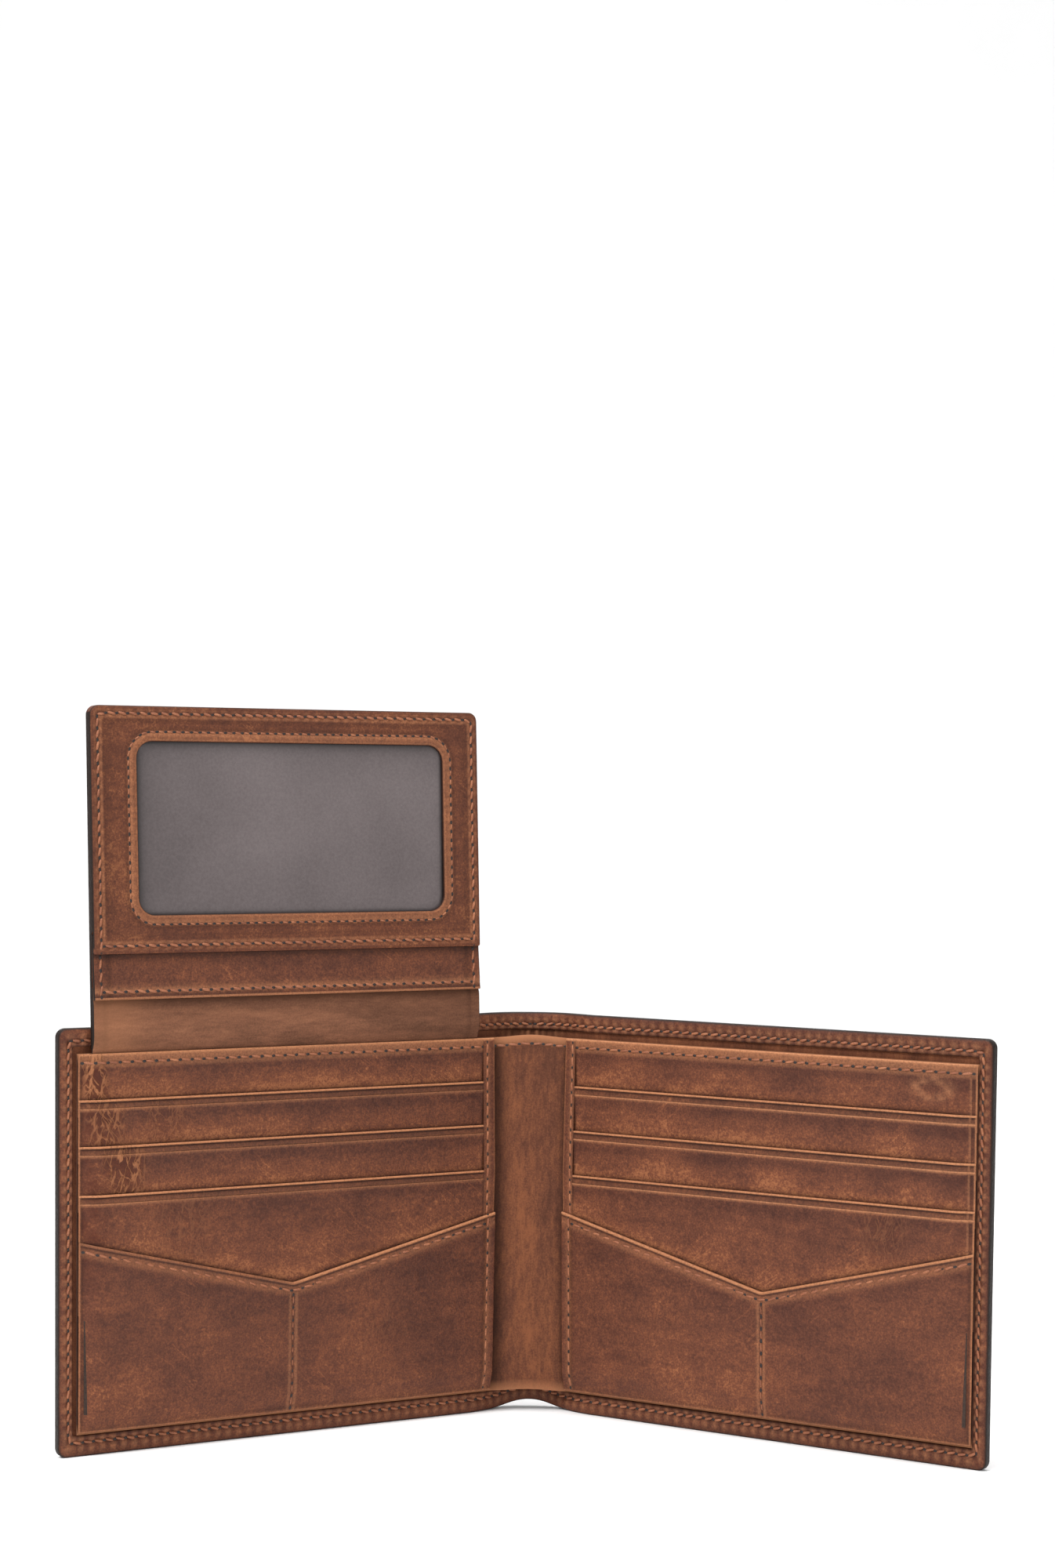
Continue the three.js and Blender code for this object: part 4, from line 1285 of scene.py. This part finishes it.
def flap_frame():
    """The leather window frame, with a raised rim round its opening."""
    rings = []

    def ring(loop, level, light, dark, paint=0):
        marks = stacked(light + np.zeros(len(loop)), dark, paint)
        rings.append((loop, frame_level(loop[:, 1]) + level, np.clip(marks, 0, 1)))

    puff = np.cos(math.tau * run_length(outer_loop(1.6)) / HEM_PITCH)
    for inset, height, dark, light in FRAME_OUTER:
        loop = outer_loop(inset)
        on_bead = puff * (peak(inset - 0.95, 0.35) + peak(inset - 2.25, 0.35))
        painted = 1.0 if inset < 0.1 else (0.5 if inset < 0.2 else 0)
        paint = np.where(loop[:, 1] < FRAME_FOOT + 1.0, 0.0, painted)
        dark_here = np.where(loop[:, 1] < FRAME_FOOT + 4.2, dark * 0.6, dark)
        ring(loop, height - 0.05 * on_bead, light - 0.12 * on_bead, dark_here, paint)
    near, far = outer_loop(FRAME_OUTER[-1][0]), window_loop(FRAME_INNER[0][0])
    # A band of painted shade across the frame's middle, strongest by the outer seam.
    for share in np.linspace(0, 1, 8)[1:-1]:
        ring(near + (far - near) * share, 0.02, 0, 0.34 - 0.3 * share + 0.2 * max(share - 0.6, 0))
    puff = np.cos(math.tau * run_length(window_loop(WINDOW_SEAM)) / WINDOW_PITCH)
    for margin, height, dark, light in FRAME_INNER:
        on_bead = puff * peak(margin - 1.4, 0.35)
        ring(window_loop(margin), height - 0.03 * on_bead, light - 0.08 * on_bead, dark)
    # Painted shade on the window opening's inner wall and behind it.
    for margin, drop in ((0.0, -0.4), (0.1, FRAME_BACK), (3.0, FRAME_BACK)):
        ring(window_loop(margin), drop, 0, 0.6)
    for inset in (3.4, 0.3, 0.05):
        ring(outer_loop(inset), FRAME_BACK, 0, 0, 1.0)
    settle(flap_ring_shell("flap_frame_leather", rings, 5), "leather", "flap", ["flap_window_frame"])


def flap_sides(u):
    """Distance in from the flap's nearer side."""
    return np.minimum(u - FLAP_INNER, FLAP_OUTER - u)


def flap_panel(name, foot, top, front, back, shade, replaces, seed, step=1.0, top_radius=0.0):
    """A plain layer of the flap's leather, with its sides painted."""
    u = lines(FLAP_INNER, FLAP_OUTER, step, from_edge(FLAP_INNER, FLAP_OUTER, *EDGE_MARKS, 1.2, 1.6, 2.0))
    h = lines(foot, top, 0.9, from_edge(foot, top, *EDGE_MARKS, 1.0, 1.3, 1.6))
    u, h = np.meshgrid(u, h)
    if top_radius:
        u, h = round_corners(u, h, top, top_radius)
    sides = flap_sides(u)
    level = front(u, h) + np.interp(sides, RIM_D, (-0.22, -0.1, -0.03, 0))
    light, dark = shade(u, h)
    piece = shell(
        name, flap_place, u, h, level, back(h), LEATHER_LOOK, light=light, dark=dark,
        paint=np.where(sides < 0.12, 1.0, 0), seed=seed,
    )
    settle(piece, "leather", "flap", replaces)


def round_corners(u, h, top, radius):
    """Draws a grid's two upper corners in to an arc."""
    for edge, out in ((FLAP_INNER, -1), (FLAP_OUTER, 1)):
        a = np.clip(((u - edge) * out + radius) / radius, 0, 1)
        b = np.clip((h - top + radius) / radius, 0, 1)
        inside = (a > 0) & (b > 0)
        new_u = edge - out * radius + out * radius * a * np.sqrt(1 - b * b / 2)
        new_h = top - radius + radius * b * np.sqrt(1 - a * a / 2)
        u = np.where(inside, new_u, u)
        h = np.where(inside, new_h, h)
    return u, h


def band_level(h):
    """The pocket band's front level: it stands out furthest at its foot."""
    return -2.2 + 0.8 * (BAND_TOP - h) / (BAND_TOP - BAND_FOOT) + LEATHER


def flap_layers():
    """Everything on the flap except its window frame."""
    def from_outline(u, h):
        return np.minimum(flap_sides(u), FLAP_TALL - h)

    def back_front(u, h):
        rim = np.clip((1.1 - from_outline(u, h)) / 0.3, 0, 1) * np.clip((h - BAND_TOP - 0.3) / 0.6, 0, 1)
        return -2.4 + 1.05 * rim

    # The back's leather gets a line of painted shade along its edge seam.
    flap_panel(
        "flap_back_leather", -0.5, FLAP_TALL, back_front, lambda h: FLAP_BACK,
        lambda u, h: (0, 0.3 * peak(from_outline(u, h) - 1.6, 0.4)), ["flap_back"], 51,
        top_radius=FLAP_CORNER,
    )

    def band_front(u, h):
        up = h - BAND_FOOT
        level = band_level(h) + np.interp(up, (*RIM_D, 0.5), (-0.28, -0.13, -0.02, 0.04, 0.0))
        level = level + pinch(up - 1.6, u, HEM_PITCH, 0.1, 0.4)
        return level + pinch(flap_sides(u) - 1.6, h, HEM_PITCH, 0.1, 0.4) + wave(u, h, 71, 18, 0.05)

    def band_shade(u, h):
        up = h - BAND_FOOT
        # Painted highlight on the band's foot edge and beside its seam; painted shade in the seam's groove
        # and by the side seams, and painted shadow under the frame's foot.
        light = 0.55 * peak(up - 1.9, 0.6) + 0.6 * (up < 0.5)
        dark = 0.3 * peak(up - 0.8, 0.4) + 0.4 * peak(flap_sides(u) - 3.3, 0.8)
        return light, np.clip(dark + 0.9 * fade(FRAME_FOOT - h, 0.7), 0, 1)

    flap_panel(
        "flap_band_leather", BAND_FOOT, BAND_TOP, band_front, lambda h: band_level(h) - LEATHER, band_shade,
        ["flap_pocket_band"], 57, step=0.6,
    )
    w = WINDOW
    u = lines(w["inner"] - 2.8, w["outer"] + 2.8, 0.5)
    h = lines(max(w["foot"] - 2.8, BAND_TOP + 0.2), w["top"] + 2.8, 0.5)
    u, h = np.meshgrid(u, h)
    from_side = np.minimum(w["outer"] - u, 3 * (u - w["inner"]))
    from_side = np.minimum(from_side, np.minimum(w["top"] - h, 3 * (h - w["foot"])))
    # Painted shadow on the film along the frame's edges, and painted shade towards its outer side.
    shade = 0.9 * fade(from_side, 0.7)
    shade = shade + 0.3 * fade(w["outer"] - u, 7)
    film = shell(
        "window_film_sheet", flap_place, u, h, -1.9 + wave(u, h, 80, 40, 0.06), -2.2,
        FILM_LOOK, dark=np.clip(shade, 0, 1), seed=2,
    )
    settle(film, "window_film", "flap", ["flap_window_film"])


def hinge_strip():
    """The soft leather strip that joins the flap to the stack: it bends over the stack's top edge."""
    u = lines(FLAP_INNER, FLAP_OUTER, 1.2, from_edge(FLAP_INNER, FLAP_OUTER, *EDGE_MARKS, 1.2, 1.6, 2.0))
    lean_cos, lean_sin = math.cos(FLAP_LEAN), math.sin(FLAP_LEAN)
    base_t = FLAP_AXIS_T - 2.0 * lean_cos
    end_t = base_t - FLAP_BASE_TOP * lean_sin
    end_z = FLAP_AXIS_Z + FLAP_BASE_TOP * lean_cos
    z = lines(79.2, end_z, 0.45)
    centre = np.interp(z, [79.2, 83.2, 85.6, end_z], [0.95, 1.0, base_t, end_t])
    centre = np.convolve(np.pad(centre, 2, mode="edge"), np.ones(5) / 5, "valid")
    u, z = np.meshgrid(u, z)
    t_grid = np.broadcast_to(centre[:, None], u.shape)
    sides = flap_sides(u)
    rim = np.interp(sides, (0, 0.05, 0.13), (-0.08, -0.03, 0))
    half = np.interp(z, [82.0, 86.0], [0.12, 0.2])
    plump = np.interp(z, [84.5, 87.0, end_z - 3.4, end_z - 2.6], [0, 0.3, 0.3, 0])
    # Lighter towards the outer end; painted shadow under the pocket band, darker towards the spine, and
    # painted shade by the side seams.
    light = 0.3 * peak(u - FLAP_OUTER + 4, 7) + 0.1
    dark = 0.7 * fade(FLAP_AXIS_Z + BAND_FOOT - z, 2.2) + 0.18 * fade(u, 30)
    dark = dark + 0.3 * peak(sides - 2.6, 0.5)
    place = half_place("left")
    piece = shell(
        "flap_hinge_leather", place, u, z, t_grid + half + plump + rim, t_grid - half, BASE_LOOK,
        light=light, dark=dark, paint=np.where(sides < 0.1, 1.0, 0), seed=61,
    )
    start, end = (Vector(place(48.9, 1.6, z)) for z in (83.0, 87.6))
    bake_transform(piece)
    settle(piece, "note_lining", replaces=["flap_base", "flap_hinge_tab"])


def flap_seams():
    """The stitches round the flap, round its window, and across the foot of its frame and band."""
    inset, arc = 1.6, 0.7
    left, right, top = FLAP_INNER + inset, FLAP_OUTER - inset, FLAP_TALL - inset
    angles = np.linspace(0, math.pi / 2, 4)
    corner_r = np.stack([right - arc + arc * np.cos(angles), top - arc + arc * np.sin(angles)], 1)
    corner_l = np.stack([left + arc - arc * np.sin(angles), top - arc + arc * np.cos(angles)], 1)
    edge = np.concatenate([[(right, FRAME_FOOT + 0.5)], corner_r, corner_l, [(left, FRAME_FOOT + 0.5)]])

    def on_frame(u, h):
        return frame_level(h) - 0.03

    def on_band(u, h):
        return band_level(h) - 0.03

    def sew(name, level, route, node=None, pitch=HEM_PITCH, place=flap_place, **stitch):
        seam(name, place, level, route, pitch, body="flap", replaces=[node] if node else (), **stitch)

    sew("flap_edge_stitches", on_frame, edge, "flap_edge_seam", slant=0.22, radius=0.28, fill=0.82,
        lift=0.05, seed=21)
    sew("flap_back_stitches", flat(-FLAP_BACK - 0.1), edge, place=lambda u, t, h: flap_place(u, -t, h),
        slant=0.12, radius=0.2, fill=0.8, lift=0.03, seed=27, outside=True)
    sew("flap_window_stitches", on_frame, window_loop(WINDOW_SEAM), "flap_window_seam", WINDOW_PITCH,
        slant=0.1, radius=0.19, fill=0.7, lift=0.04, seed=22, closed=True)
    for part, foot, level in (("frame", FRAME_FOOT, on_frame), ("band", BAND_FOOT, on_band)):
        row = [(left + 0.6, foot + inset), (right - 0.6, foot + inset)]
        sew(f"flap_{part}_stitches", level, row, f"flap_{part}_seam", slant=0.24, radius=0.28, fill=0.86,
            lift=0.05, seed=23)
    for end, u in (("outer", right), ("inner", left)):
        sew(f"flap_band_side_stitches_{end}", on_band, [(u, BAND_FOOT + 0.6), (u, FRAME_FOOT - 0.6)],
            slant=0.24, radius=0.26, fill=0.82, lift=0.04, seed=24)
        sew(f"flap_base_side_stitches_{end}", flat(-1.84), [(u, inset), (u, BAND_FOOT - 0.6)],
            slant=0.15, radius=0.2, fill=0.8, lift=0.03, seed=25)


# ---------------------------------------------------------------- camera, light and floor

def camera():
    """A long lens a little right of the middle, looking slightly down."""
    turn, down, roll = math.radians(1.185), math.radians(3.627), math.radians(0.573)
    forward = Vector((-math.sin(turn) * math.cos(down), math.cos(turn) * math.cos(down), -math.sin(down)))
    level_right = forward.cross(Vector((0, 0, 1))).normalized()
    level_up = level_right.cross(forward)
    right = level_right * math.cos(roll) + level_up * math.sin(roll)
    up = level_up * math.cos(roll) - level_right * math.sin(roll)
    data = bpy.data.cameras.new("camera")
    data.sensor_fit = "VERTICAL"
    data.sensor_height = 36
    data.lens = 72
    data.shift_y = 0.1209
    data.clip_start = 0.01
    data.clip_end = 20
    seen = bpy.data.objects.new("camera", data)
    place = Matrix((right, up, -forward)).transposed().to_4x4()
    place.translation = Vector((13.10, HINGE_Y - 689.24, 141.23)) * MM
    seen.matrix_world = place
    bpy.context.scene.collection.objects.link(seen)
    bpy.context.scene.camera = seen


LIGHTS_AIM = Vector((0, 0.01, 0.08))


def area_light(name, place, size, power):
    """A square soft light that faces the wallet."""
    data = bpy.data.lights.new(name, "AREA")
    data.shape = "RECTANGLE"
    data.size = data.size_y = size
    data.energy = power
    lamp = bpy.data.objects.new(name, data)
    lamp.location = place
    lamp.rotation_mode = "QUATERNION"
    lamp.rotation_quaternion = (LIGHTS_AIM - lamp.location).to_track_quat("-Z", "Y")
    bpy.context.scene.collection.objects.link(lamp)


def studio():
    """A white sweep under soft, even light, a little stronger from the upper left."""
    world = bpy.data.worlds.new("studio")
    world.use_nodes = True
    background = world.node_tree.nodes["Background"]
    background.inputs["Color"].default_value = (1, 1, 1, 1)
    background.inputs["Strength"].default_value = 0.5
    bpy.context.scene.world = world
    bpy.context.scene.view_settings.view_transform = "Standard"
    area_light("key", (-0.5, -0.55, 0.95), 0.45, 11)
    area_light("top", (0.05, 0.05, 1.0), 0.6, 8)
    area_light("fill", (0.8, -0.8, 0.3), 0.8, 2.5)
    front, back, radius, height, half_width = -2.5, 0.8, 0.5, 2.6, 3.0
    rise = [
        (back + radius * math.sin(a), radius - radius * math.cos(a)) for a in np.linspace(0, math.pi / 2, 12)
    ]
    profile = [(front, 0.0), *rise, (back + radius, height)]
    points = [(x, y, z) for y, z in profile for x in (-half_width, half_width)]
    faces = [(2 * i, 2 * i + 1, 2 * i + 3, 2 * i + 2) for i in range(len(profile) - 1)]
    mesh = bpy.data.meshes.new("floor")
    mesh.from_pydata(points, [], faces)
    mesh.polygons.foreach_set("use_smooth", np.ones(len(faces), bool))
    g = Graph("floor")
    specks = g.noise(g.node("ShaderNodeTexCoord").outputs["Object"], 0.05, 2)
    colour = g.ramp(specks, [(0.3, (0.95, 0.95, 0.95, 1)), (0.7, (0.97, 0.97, 0.97, 1))])
    g.shade(Base_Color=colour, Roughness=0.9, Specular_IOR_Level=0.1)
    mesh.materials.append(g.material)
    floor = bpy.data.objects.new("floor", mesh)
    bpy.context.scene.collection.objects.link(floor)


# ---------------------------------------------------------------- the wallet

for side in ("left", "right"):
    cover_half(side)
    lining_half(side)
    hem_seam(side)
    divider_half(side)
    for index in range(4):
        slot_strip(side, index)
        cloth = frame["nodes"][f"slot_lining_{index + 1}_{side}"]
        cloth.data.materials.clear()
        cloth.data.materials.append(CLOTH_LOOK)
    v_pocket(side)
    stack_seams(side)
    stack_margin(side)
flap_layers()
flap_frame()
hinge_strip()
flap_seams()
camera()
studio()
